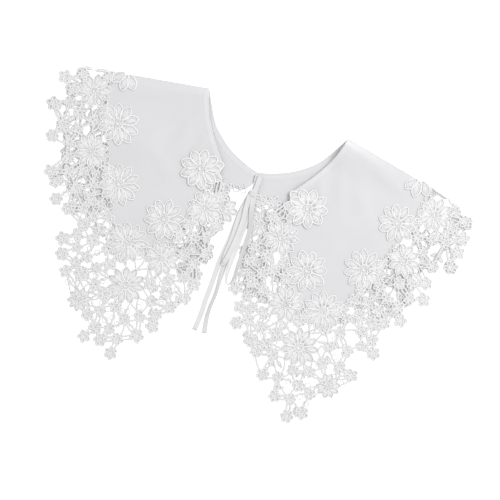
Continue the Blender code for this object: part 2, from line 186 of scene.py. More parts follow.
@dataclass(frozen=True)
class Wing:
    """One wing of the collar and the surfaces on which its cloth and lace lie."""

    name: str
    side: int
    swing: float
    roll_height: float
    headroom: float

    def place(self, turn: np.ndarray, reach: np.ndarray, swung: bool) -> tuple[np.ndarray, np.ndarray]:
        """Where a point of the wing lies in plan.

        Args:
            turn: degrees from the shoulder seam.
            reach: distance from the neck point.
            swung: whether the piece takes part in the swing of the front.

        Returns:
            The x and the y of the points.
        """
        if swung:
            turn = turn + self.swing * ease((turn - SWING_START) / SWING_SPAN)
        heading = np.radians(-SHOULDER_DROP - turn)
        x = np.maximum(NECK_HALF_WIDTH + reach * np.cos(heading), CENTRE_GAP)
        return self.side * x, NECK_LINE_Y + reach * np.sin(heading)

    def roll(self, turn: np.ndarray, reach: np.ndarray) -> tuple[np.ndarray, np.ndarray]:
        """Height of the roll of the shoulder fold there, and distance from the shoulder seam."""
        angle = np.radians(turn)
        height = self.roll_height * ease(1.0 - reach * np.cos(angle) / ROLL_LENGTH)
        return height, reach * np.sin(angle)

    def back_height(self, turn: np.ndarray, reach: np.ndarray) -> np.ndarray:
        """Underside of the back layer."""
        height, away = self.roll(turn, reach)
        return height / 2 * np.clip(1.0 - away / (ROLL_CREST + 1.0), 0.0, 1.2) ** 2

    def front_height(self, turn: np.ndarray, reach: np.ndarray) -> np.ndarray:
        """Underside of the front layer: over the roll, on the back layer, then on the table.

        Args:
            turn: the places' turns.
            reach: the places' reaches.

        Returns:
            The height at each place.
        """
        height, away = self.roll(turn, reach)
        climb = 0.5 + 0.5 * np.sin(np.pi / 2 * np.clip(away / ROLL_CREST, 0, 1))
        fall = ease(1.0 - (away - ROLL_CREST) / (ROLL_WIDTH - ROLL_CREST))
        rise = np.where(away < ROLL_CREST, climb, fall)
        past_back = reach - BACK_LACE_EDGE(turn) - DROP_START
        on_back = ease(1.0 - past_back / DROP_LENGTH)
        to_neck = np.radians(FRONT_NECKLINE(reach) - turn) * reach
        headroom = self.headroom * ease(1.0 - to_neck / HEADROOM_BAND) * ease(away / ROLL_CREST)
        headroom = headroom * ease((HEADROOM_END - reach) / HEADROOM_FADE)
        ripple = 0.5 + 0.5 * np.sin(turn / WAVE_TURN + reach / WAVE_REACH)
        wave = WAVE_HEIGHT * ripple * ease((reach - WAVE_FADE) / WAVE_FADE)
        return FRONT_REST * on_back + height * rise + headroom + wave * ease(away / FOLD_FADE) * on_back


WINGS = (Wing("right", 1, -1.85, 7.6, 2.4), Wing("left", -1, 1.85, 1.6, 1.3))


def polar(x: np.ndarray, y: np.ndarray) -> tuple[np.ndarray, np.ndarray]:
    """Turn and reach of places in the right wing's plan, given from its neck point."""
    turn = np.degrees(np.arctan2(-y, x)) - SHOULDER_DROP
    return turn, np.hypot(x, y)


def from_neck_point(turn: np.ndarray | float, reach: np.ndarray | float) -> np.ndarray:
    """Place in the right wing's plan, from its neck point, of a turn and a reach."""
    heading = np.radians(-SHOULDER_DROP - np.asarray(turn, float))
    return np.stack([reach * np.cos(heading), reach * np.sin(heading)], axis=-1)


# Meshes


def deselect() -> None:
    """Leaves nothing selected."""
    for obj in bpy.context.selected_objects:
        obj.select_set(False)


def select(obj: Piece) -> None:
    """Selects one object alone and makes it active."""
    deselect()
    obj.select_set(True)
    bpy.context.view_layer.objects.active = obj


def read_points(obj: Piece) -> np.ndarray:
    """An object's vertices as rows of three."""
    points = np.empty(len(obj.data.vertices) * 3, np.float32)
    obj.data.vertices.foreach_get("co", points)
    return points.reshape(-1, 3).astype(float)


def write_points(obj: Piece, points: np.ndarray) -> None:
    """Moves an object's vertices to new places."""
    obj.data.vertices.foreach_set("co", np.ascontiguousarray(points, np.float32).ravel())
    obj.data.update()


def set_places(obj: Piece, x: np.ndarray, y: np.ndarray, z: np.ndarray) -> None:
    """Moves an object's vertices to places given in millimetres."""
    write_points(obj, np.stack([x, y, z], axis=1) * MM)


def added(name: str) -> Piece:
    """Names the primitive that was just added, and bakes its place into its mesh."""
    obj = bpy.context.active_object
    obj.name = obj.data.name = name
    bpy.ops.object.transform_apply(location=True, rotation=True, scale=True)
    return obj


def edit(obj: Piece, *steps: Callable[[], object]) -> None:
    """Runs operators on all of an object's mesh in edit mode.

    Args:
        obj: the object.
        steps: calls of operators, in order.
    """
    select(obj)
    bpy.ops.object.mode_set(mode="EDIT")
    bpy.ops.mesh.select_all(action="SELECT")
    for step in steps:
        step()
    bpy.ops.object.mode_set(mode="OBJECT")


def face_outwards(obj: Piece) -> None:
    """Turns the faces of closed shapes outwards."""
    edit(obj, lambda: bpy.ops.mesh.normals_make_consistent(inside=False))


def thicken(obj: Piece, wall: float, offset: float = -1.0) -> None:
    """Gives an open surface a wall and applies it.

    Args:
        obj: the surface.
        wall: the thickness.
        offset: -1 keeps the surface as the upper face, 1 as the lower.
    """
    select(obj)
    modifier = obj.modifiers.new("Wall", "SOLIDIFY")
    modifier.thickness = wall * MM
    modifier.offset = offset
    bpy.ops.object.modifier_apply(modifier=modifier.name)


def join(objects: Sequence[Piece], name: str) -> Piece:
    """Joins objects into one with a new name.

    Args:
        objects: the objects, of which the first takes in the rest.
        name: the new name.

    Returns:
        The joined object.
    """
    deselect()
    for obj in objects:
        obj.select_set(True)
    bpy.context.view_layer.objects.active = objects[0]
    bpy.ops.object.join()
    joined = bpy.context.active_object
    joined.name = joined.data.name = name
    return joined


def moved(x: float, y: float, z: float = 0.0) -> Matrix:
    """A move, given in millimetres."""
    return Matrix.Translation((x * MM, y * MM, z * MM))


def sized(x: float, y: float, z: float = 1.0) -> Matrix:
    """A change of size along each axis."""
    return Matrix.Diagonal((x, y, z, 1.0))


def spun(angle: float) -> Matrix:
    """A turn about Z, in radians."""
    return Matrix.Rotation(angle, 4, "Z")


def copy_of(obj: Piece, matrix: Matrix) -> Piece:
    """A copy of an object with its own mesh, moved by a matrix."""
    twin = obj.copy()
    twin.data = obj.data.copy()
    twin.data.transform(matrix)
    bpy.context.collection.objects.link(twin)
    return twin


def grid(name: str, columns: int, rings: int) -> tuple[Piece, np.ndarray, np.ndarray]:
    """A plane grid to be bent into a sheet.

    Args:
        name: the object's name.
        columns: faces across.
        rings: faces along.

    Returns:
        The object and each vertex's share, 0 to 1, across and along.
    """
    deselect()
    bpy.ops.mesh.primitive_grid_add(x_subdivisions=columns, y_subdivisions=rings, size=2.0)
    obj = added(name)
    points = read_points(obj)
    across, along = (points[:, 0] + 1) / 2, (points[:, 1] + 1) / 2
    layer = obj.data.uv_layers.active or obj.data.uv_layers.new(name="UVMap")
    layer.name = "UVMap"
    return obj, across, along


def paint(obj: Piece, name: str, values: np.ndarray) -> None:
    """Stores a number on each vertex under a name."""
    attribute = obj.data.attributes.new(name=name, type="FLOAT", domain="POINT")
    attribute.data.foreach_set("value", np.ascontiguousarray(values, np.float32))


def grey_over(obj: Piece, share: float) -> None:
    """Gives all of a motif a share of the net's greyer colour."""
    paint(obj, "net", np.full(len(obj.data.vertices), share))


def weaken(obj: Piece, name: str, share: float) -> None:
    """Scales the number stored on each vertex under a name, where there is one."""
    attribute = obj.data.attributes.get(name)
    if attribute is not None:
        values = np.empty(len(obj.data.vertices), np.float32)
        attribute.data.foreach_get("value", values)
        attribute.data.foreach_set("value", values * share)


def face_along(obj: Piece, axis: int) -> None:
    """Turns an open sheet's faces so that most look along an axis: 1 for Y, 2 for Z."""
    normals = np.empty(len(obj.data.polygons) * 3, np.float32)
    obj.data.polygons.foreach_get("normal", normals)
    if normals.reshape(-1, 3)[:, axis].sum() < 0:
        edit(obj, lambda: bpy.ops.mesh.flip_normals())


def dress(obj: Piece, finish: Finish) -> Piece:
    """Shades a piece smooth and gives it its one material."""
    select(obj)
    bpy.ops.object.shade_smooth()
    obj.data.materials.clear()
    obj.data.materials.append(finish)
    return obj


# Finishes


class Value:
    """A socket of a material, whose arithmetic adds Math nodes."""

    def __init__(self, tree: bpy.types.NodeTree, socket: Socket) -> None:
        """Wraps a socket."""
        self.tree = tree
        self.socket = socket

    def math(self, operation: str, *others: "Value | float") -> "Value":
        """A Math node on this value and others.

        Args:
            operation: the node's operation.
            others: its further inputs.

        Returns:
            The node's result.
        """
        node = self.tree.nodes.new("ShaderNodeMath")
        node.operation = operation
        for slot, term in zip(node.inputs, (self, *others)):
            if isinstance(term, Value):
                self.tree.links.new(term.socket, slot)
            else:
                slot.default_value = term
        return Value(self.tree, node.outputs[0])

    def __add__(self, other: "Value | float") -> "Value":
        """This plus other."""
        return self.math("ADD", other)

    __radd__ = __add__

    def __sub__(self, other: "Value | float") -> "Value":
        """This less other."""
        return self.math("SUBTRACT", other)

    def __rsub__(self, other: float) -> "Value":
        """A number less this."""
        return self.math("MULTIPLY", -1.0) + other

    def __mul__(self, other: "Value | float") -> "Value":
        """This times other."""
        return self.math("MULTIPLY", other)

    __rmul__ = __mul__

    def sine(self) -> "Value":
        """The sine of this."""
        return self.math("SINE")

    def clamped(self) -> "Value":
        """This, held between 0 and 1."""
        return self.math("MINIMUM", 1.0).math("MAXIMUM", 0.0)


Colour = tuple[float, float, float]
COLOUR_MIX_SLOTS = (0, 6, 7)    # factor and the two colours of a Mix node that mixes colours
COLOUR_MIX_RESULT = 2


class Material:
    """A material under construction, on one Principled shader."""

    def __init__(self, name: str, roughness: float, sheen: float) -> None:
        """Starts a material.

        Args:
            name: the material's name.
            roughness: the shader's own roughness.
            sheen: the weight of its sheen.
        """
        self.data = bpy.data.materials.new(name)
        self.data.use_nodes = True
        self.tree = self.data.node_tree
        self.shader = self.tree.nodes["Principled BSDF"]
        self.shader.inputs["Roughness"].default_value = roughness
        self.shader.inputs["Sheen Weight"].default_value = sheen
        self.shader.inputs["Specular IOR Level"].default_value = 0.25

    def node(self, kind: str, settings: dict | None = None, **inputs: object) -> bpy.types.Node:
        """Any node, with its settings made first.

        Args:
            kind: the node's type without its prefix.
            settings: attributes of the node.
            inputs: values or links of its sockets, by socket name with _ for a space.

        Returns:
            The node.
        """
        made = self.tree.nodes.new("ShaderNode" + kind)
        for key, value in (settings or {}).items():
            setattr(made, key, value)
        for key, value in inputs.items():
            slot = made.inputs[key.replace("_", " ")]
            if isinstance(value, Value):
                self.tree.links.new(value.socket, slot)
            elif isinstance(value, Socket):
                self.tree.links.new(value, slot)
            else:
                slot.default_value = value
        return made

    def value(self, socket: Socket) -> Value:
        """A socket as a value for arithmetic."""
        return Value(self.tree, socket)

    def attribute(self, name: str) -> Value:
        """A number stored on the piece's vertices."""
        return self.value(self.node("Attribute", {"attribute_name": name}).outputs["Fac"])

    def place(self) -> tuple[Socket, Value, Value]:
        """Object coordinates: the vector, its x and its y, in metres."""
        vector = self.node("TexCoord").outputs["Object"]
        parts = self.node("SeparateXYZ", Vector=vector)
        return vector, self.value(parts.outputs["X"]), self.value(parts.outputs["Y"])

    def noise(self, vector: Socket, scale: float, detail: float) -> Value:
        """Soft noise from 0 to 1."""
        made = self.node("TexNoise", Vector=vector, Scale=scale, Detail=detail, Roughness=0.55)
        return self.value(made.outputs["Fac"])

    def blend(
        self, amount: Value, under: Colour | Socket, over: Colour
    ) -> Socket:
        """A colour laid over another.

        Args:
            amount: how much of it covers the other, from 0 to 1.
            under: the other, a colour or a socket.
            over: the colour on top.

        Returns:
            The mixed colour's socket.
        """
        mix = self.node("Mix", {"data_type": "RGBA"})
        factor, low, high = (mix.inputs[slot] for slot in COLOUR_MIX_SLOTS)
        self.tree.links.new(amount.socket, factor)
        if isinstance(under, tuple):
            low.default_value = (*under, 1.0)
        else:
            self.tree.links.new(under, low)
        high.default_value = (*over, 1.0)
        return mix.outputs[COLOUR_MIX_RESULT]

    def finish(self, colour: Socket, height: Value, depth: float) -> Finish:
        """Links the colour and a relief to the shader.

        Args:
            colour: the base colour.
            height: the relief, from 0 to 1.
            depth: the relief's full depth in metres.

        Returns:
            The finished material.
        """
        self.tree.links.new(colour, self.shader.inputs["Base Color"])
        bump = self.node("Bump", Strength=1.0, Distance=depth, Height=height)
        self.tree.links.new(bump.outputs["Normal"], self.shader.inputs["Normal"])
        return self.data


@dataclass(frozen=True)
class Cotton:
    """Fine plain-woven cotton: threads both ways, soft mottling, denser bands at hems and seams."""

    name: str
    light: Colour
    shade: Colour
    dense: Colour
    seam_band: float = 9.0
    thread: float = 0.0005
    roughness: float = 0.88

    def material(self) -> Finish:
        """The cloth's material."""
        made = Material(self.name, self.roughness, 0.2)
        vector, x, y = made.place()
        turns = 2 * math.pi / self.thread
        weave = (x * turns).sine() * (y * turns).sine() * 0.5 + 0.5
        mottle = made.noise(vector, 17.0, 3.0)
        slub = made.noise(made.node("Mapping", Vector=vector, Scale=(40, 900, 1)).outputs[0], 1.0, 2.0)
        tone = (mottle - 0.35) * 1.6 + (slub - 0.5) * 0.5
        colour = made.blend(tone.clamped(), self.shade, self.light)
        band = 1.0 - ((made.attribute("from_seam") - self.seam_band) * 2.0).clamped()
        colour = made.blend(band * 0.3, colour, self.dense)
        relief = weave * 0.35 + slub * 0.25 + made.noise(vector, 320.0, 2.0) * 0.4
        return made.finish(colour, relief, 0.00009)


@dataclass(frozen=True)
class Stitching:
    """Dense embroidery thread: fine ribs on each cord, an uneven white, and a greyer net in the petals."""

    name: str
    light: Colour
    shade: Colour
    net: Colour
    pitch: float = 0.0006
    net_turns: float = 3500.0
    roughness: float = 0.72

    def material(self) -> Finish:
        """The thread's material."""
        made = Material(self.name, self.roughness, 0.25)
        vector, x, y = made.place()
        turns = 2 * math.pi / self.pitch
        ribs = ((x + y) * turns).sine() * ((x - y) * turns).sine() * 0.5 + 0.5
        tone = (made.noise(vector, 150.0, 2.0) - 0.3) * 1.9
        colour = made.blend(tone.clamped(), self.shade, self.light)
        net = ((x + y) * self.net_turns).sine() * ((x - y) * self.net_turns).sine() * 0.25 + 0.75
        colour = made.blend(made.attribute("net") * net, colour, self.net)
        fuzz = made.noise(vector, 1500.0, 2.0)
        return made.finish(colour, ribs * 0.5 + fuzz * 0.5, 0.0001)


@dataclass(frozen=True)
class Tape:
    """Narrow woven tape: ribs across its length and firmer edges, drawn on its own map."""

    name: str
    light: Colour
    shade: Colour
    ribs: float = 520.0

    def material(self) -> Finish:
        """The tape's material."""
        made = Material(self.name, 0.6, 0.15)
        parts = made.node("SeparateXYZ", Vector=made.node("TexCoord").outputs["UV"])
        across, along = made.value(parts.outputs["X"]), made.value(parts.outputs["Y"])
        edge = ((across - 0.5).math("ABSOLUTE") * 2.0 - 0.7) * 3.3
        vector = made.node("TexCoord").outputs["Object"]
        tone = made.noise(vector, 90.0, 2.0) * 1.2 - edge.clamped() * 0.35
        colour = made.blend(tone.clamped(), self.shade, self.light)
        relief = (along * self.ribs * 2 * math.pi).sine() * 0.5 + 0.5 + edge.clamped() * 0.6
        return made.finish(colour, relief, 0.00006)


# Cloth


class Layer(Enum):
    """The two layers of a folded wing."""

    FRONT = "front"
    BACK = "back"


@dataclass
class ClothPanel:
    """A cotton panel of one wing; its hem or binding and their stitches are built on it as edge strips."""

    wing: Wing
    layer: Layer
    columns: int
    rings: int
    start: float = 0.6

    def surface(self, turn: np.ndarray, reach: np.ndarray) -> np.ndarray:
        """Height of the panel's upper face."""
        if self.layer is Layer.FRONT:
            height, creases = self.wing.front_height(turn, reach), FRONT_CREASES
        else:
            height, creases = self.wing.back_height(turn, reach), BACK_CREASES
        return height + CLOTH_TOP + crease_height(creases, turn, reach)

    def outline(self) -> tuple[Curve, Curve, float]:
        """The panel's outer edge, its neckline and the turn where they meet."""
        if self.layer is Layer.FRONT:
            return FRONT_CLOTH_EDGE, FRONT_NECKLINE, FRONT_CORNER
        return BACK_CLOTH_EDGE, BACK_NECKLINE, BACK_CORNER

    def build(self, finish: Finish) -> Piece:
        """Builds the panel's shell.

        Args:
            finish: the cloth's material.

        Returns:
            The finished shell.
        """
        edge, neckline, last_turn = self.outline()
        obj, across, along = grid(f"{self.wing.name}_{self.layer.value}_cloth", self.columns, self.rings)
        reach = self.start + (edge(across * last_turn) - self.start) * along
        turn = across * neckline(reach)
        x, y = self.wing.place(turn, reach, self.layer is Layer.FRONT)
        set_places(obj, x, y, self.surface(turn, reach))
        paint(obj, "from_seam", reach * np.sin(np.radians(np.minimum(turn, 90.0))))
        face_along(obj, 2)
        thicken(obj, CLOTH_WALL)
        return dress(obj, finish)


def crease_height(creases: Sequence[Crease], turn: np.ndarray, reach: np.ndarray) -> np.ndarray:
    """Height that the creases add to the cloth at some places.

    Args:
        creases: the layer's creases.
        turn: the places' turns.
        reach: the places' reaches.

    Returns:
        The added height, below zero in a trough.
    """
    here = from_neck_point(turn, reach)
    total = np.zeros(len(here))
    for crease in creases:
        first = from_neck_point(*crease.start)
        run = from_neck_point(*crease.end) - first
        share = np.clip(((here - first) @ run) / (run @ run), 0.0, 1.0)
        gap = np.linalg.norm(here - first - share[:, None] * run, axis=1)
        along = np.sin(np.pi * (CREASE_END + (1.0 - 2.0 * CREASE_END) * share))
        total += crease.height * np.exp(-((gap / crease.width) ** 2)) * along
    return np.maximum(total, DEEPEST_CREASE)


@dataclass
class EdgeStrip:
    """A narrow strip of cloth sewn along an edge of a panel, with rows of stitches on it.

    The line gives turn and reach along the strip's outer edge, and inward the direction of its width
    there, both in the right wing's plan.
    """

    panel: ClothPanel
    name: str
    line: np.ndarray
    width: float
    wall: float
    rows: tuple[float, ...]
    lift: float = 0.02
    crown: float = 0.05
    ridges: int = 3
    ripple: float = 0.09
    columns: int = 18
    ring_pitch: float = 1.6

    def places(self, share: np.ndarray, inset: np.ndarray) -> tuple[np.ndarray, np.ndarray]:
        """Turn and reach of places on the strip.

        Args:
            share: how far along the strip, 0 to 1.
            inset: distance from its outer edge.

        Returns:
            The turn and the reach.
        """
        steps = np.linalg.norm(np.diff(self.line, axis=0), axis=1)
        run = np.concatenate([[0.0], np.cumsum(steps)])
        at = share * run[-1]
        point, ahead, behind = (
            np.stack([np.interp(at + step, run, self.line[:, i]) for i in (0, 1)], axis=1)
            for step in (0.0, HEADING_STEP, -HEADING_STEP))
        heading = ahead - behind
        heading /= np.linalg.norm(heading, axis=1)[:, None]
        inward = np.stack([heading[:, 1], -heading[:, 0]], axis=1)
        point = point + inward * inset[:, None]
        return polar(point[:, 0], point[:, 1])

    def build(self, finish: Finish, thread: Finish) -> list[Piece]:
        """Builds the strip and its stitches.

        Args:
            finish: the strip's material.
            thread: the stitches' material.

        Returns:
            The strip, then the stitches.
        """
        steps = np.linalg.norm(np.diff(self.line, axis=0), axis=1).sum()
        obj, across, along = grid(self.name, self.columns, max(int(steps / self.ring_pitch), 8))
        turn, reach = self.places(along, across * self.width)
        swung = self.panel.layer is Layer.FRONT
        x, y = self.panel.wing.place(turn, reach, swung)
        round_over = 1.0 - (2.0 * across - 1.0) ** 4
        z = self.panel.surface(turn, reach) + self.lift + self.wall - self.crown * (1.0 - round_over)
        z -= self.ripple * (1.0 + np.cos(2 * np.pi * self.ridges * across))
        set_places(obj, x, y, z)
        paint(obj, "from_seam", np.full(len(x), 100.0))
        face_along(obj, 2)
        thicken(obj, self.wall)
        dress(obj, finish)
        stitches = [self.stitch_row(inset, steps, swung) for inset in self.rows]
        return [obj, dress(join(stitches, self.name + "_stitches"), thread)]

    def stitch_row(self, inset: float, length: float, swung: bool) -> Piece:
        """One row of stitches.

        Args:
            inset: the row's distance from the strip's outer edge.
            length: the strip's length.
            swung: whether the strip swings with the front.

        Returns:
            The row, joined.
        """
        count = int(length / STITCH_PITCH)
        share = (np.arange(count) + 0.5) / count
        insets = np.full(count, inset)
        turn, reach = self.places(share, insets)
        x, y = self.panel.wing.place(turn, reach, swung)
        z = self.panel.surface(turn, reach) + self.lift + self.wall + 0.02
        turn, reach = self.places(np.minimum(share + 0.01, 1.0), insets)
        ahead_x, ahead_y = self.panel.wing.place(turn, reach, swung)
        master = stitch_master()
        copies = []
        for i in range(count):
            angle = math.atan2(ahead_y[i] - y[i], ahead_x[i] - x[i])
            place = Matrix.Translation(Vector((x[i], y[i], z[i])) * MM)
            copies.append(copy_of(master, place @ spun(angle)))
        bpy.data.objects.remove(master)
        return join(copies, self.name + "_row")


def stitch_master() -> Piece:
    """One stitch, lying along X at the origin."""
    deselect()
    bpy.ops.mesh.primitive_uv_sphere_add(segments=6, ring_count=4, radius=1.0)
    obj = bpy.context.active_object
    obj.rotation_euler = (0.0, math.pi / 2, 0.0)
    bpy.ops.object.transform_apply(rotation=True)
    obj.scale = tuple(side * MM for side in STITCH_SIZE)
    return added("stitch")


@dataclass
class ShoulderFold:
    """The rounded fold of cloth along a shoulder seam, which joins the front panel to the back panel."""

    wing: Wing
    steps: int = 60
    facets: int = 10

    def build(self, front: ClothPanel, back: ClothPanel, finish: Finish) -> Piece:
        """Builds the fold between the two panels' edges.

        Args:
            front: the upper panel.
            back: the lower panel.
            finish: the cloth's material.

        Returns:
            The finished fold.
        """
        obj, across, along = grid(f"{self.wing.name}_shoulder_fold", self.facets, self.steps)
        reach = front.start + (FRONT_CLOTH_EDGE(0.0) - front.start) * along
        turn = np.zeros(len(reach))
        x, y = self.wing.place(turn, reach, False)
        top, bottom = front.surface(turn, reach), back.surface(turn, reach) - CLOTH_WALL
        swing = (across - 0.5) * np.pi
        out = (top - bottom) / 2 * np.cos(swing)
        heading = np.radians(90.0 - SHOULDER_DROP)
        x, y = x + self.wing.side * out * np.cos(heading), y + out * np.sin(heading)
        z = (top + bottom) / 2 + (top - bottom) / 2 * np.sin(swing)
        set_places(obj, x, y, z)
        paint(obj, "from_seam", np.zeros(len(x)))
        face_along(obj, 1)
        thicken(obj, CLOTH_WALL / 2)
        return dress(obj, finish)


# Lace


def outline_cord(name: str, outline: np.ndarray, radius: float, sides: int, height: float) -> Piece:
    """A closed cord along a flat outline.

    Args:
        name: the object's name.
        outline: the outline's points in millimetres.
        radius: the cord's radius.
        sides: the cord's sides.
        height: height of its centre line.

    Returns:
        The cord.
    """
    deselect()
    bpy.ops.mesh.primitive_torus_add(
        major_segments=len(outline), minor_segments=sides, major_radius=4.0, minor_radius=1.0)
    obj = added(name)
    points = read_points(obj)
    row = np.round(np.arctan2(points[:, 1], points[:, 0]) / (2 * np.pi) * len(outline)).astype(int)
    row %= len(outline)
    out = np.hypot(points[:, 0], points[:, 1]) - 4.0
    heading = np.roll(outline, -1, axis=0) - np.roll(outline, 1, axis=0)
    heading /= np.linalg.norm(heading, axis=1)[:, None]
    normal = np.stack([heading[:, 1], -heading[:, 0]], axis=1)
    flat = outline[row] + normal[row] * (out * radius)[:, None]
    write_points(obj, np.column_stack([flat, height + points[:, 2] * radius]) * MM)
    return obj


def almond(length: float, width: float, count: int, middle: float) -> np.ndarray:
    """Points of an almond outline, pointed at both ends and fuller towards its tip.

    Args:
        length: its length along X.
        width: its greatest width.
        count: how many points.
        middle: the place of its middle on X.

    Returns:
        The points as rows of two.
    """
    around = np.arange(count) / count * 2 * np.pi
    sine = np.sin(around)
    y = width / 2 * sine * np.abs(sine) ** 0.5 * (1.0 + 0.12 * np.cos(around))
    return np.stack([middle + length / 2 * np.cos(around), y], axis=1)


def plate(name: str, outline: np.ndarray, low: float, high: float) -> Piece:
    """A thin padded plate inside an outline, all of it in the net's colour.

    Args:
        name: the object's name.
        outline: the outline's points in millimetres.
        low: height of its underside.
        high: height of its upper face.

    Returns:
        The plate.
    """
    deselect()
    bpy.ops.mesh.primitive_circle_add(vertices=len(outline), radius=1.0, fill_type="NGON")
    obj = added(name)
    points = read_points(obj)
    row = np.round(np.arctan2(points[:, 1], points[:, 0]) / (2 * np.pi) * len(outline)).astype(int)
    flat = outline[row % len(outline)]
    write_points(obj, np.column_stack([flat, np.full(len(flat), low)]) * MM)
    lift = {"value": (0.0, 0.0, (high - low) * MM)}
    edit(obj, lambda: bpy.ops.mesh.extrude_region_move(TRANSFORM_OT_translate=lift))
    face_outwards(obj)
    grey_over(obj, 1.0)
    return obj


@dataclass(frozen=True)
class Daisy:
    """A large embroidered daisy: its place on the wing, its size and its number of petals."""

    turn: float
    reach: float
    radius: float
    petals: int
    phase: float = 0.0
    oval: float = 1.35
    sector: tuple[float, float] | None = None

    def headings(self) -> list[float]:
        """Headings of its petals, in radians; only those in its sector, when it has one."""
        all_round = [2 * math.pi * (i + self.phase) / self.petals for i in range(self.petals)]
        low, high = self.sector or (-1.0, 361.0)
        return [angle for angle in all_round if low < math.degrees(angle) % 360 < high]


APPLIQUES = {
    "daisy_1": Daisy(30, 117, 24.5, 10, 0.1),
    "daisy_2": Daisy(54.6, 157, 25, 11, 0.3),
    "daisy_3": Daisy(91.7, 96, 24.5, 9, 0.2),
    "daisy_4": Daisy(79, 165, 25, 10, 0.45),
    "daisy_5": Daisy(70, 208, 25, 11, 0.15),
}
FOLD_DAISY = Daisy(-2.9, 99, 25, 10, 0.5, 1.0, (222, 318))
FRONT_BORDER_DAISIES = (
    Daisy(96, 143, 22, 10, 0.2), Daisy(82.4, 211, 22, 10, 0.4), Daisy(36.3, 160, 21, 10, 0.1),
    Daisy(11, 138, 21, 10, 0.3), Daisy(75, 256, 24, 11, 0.25), Daisy(66.4, 296, 15.5, 10, 0.5, 1.8),
    Daisy(91.7, 96, 30, 10, 0.3, 1.0, (150, 232)),
)
BACK_BORDER_DAISIES = (
    Daisy(50, 170, 21, 10, 0.0), Daisy(72, 178, 22, 11, 0.3), Daisy(96, 193, 20, 10, 0.1),
    Daisy(106, 145, 19, 9, 0.35), Daisy(36.3, 160, 21, 10, 0.1), Daisy(11, 138, 21, 10, 0.3),
)


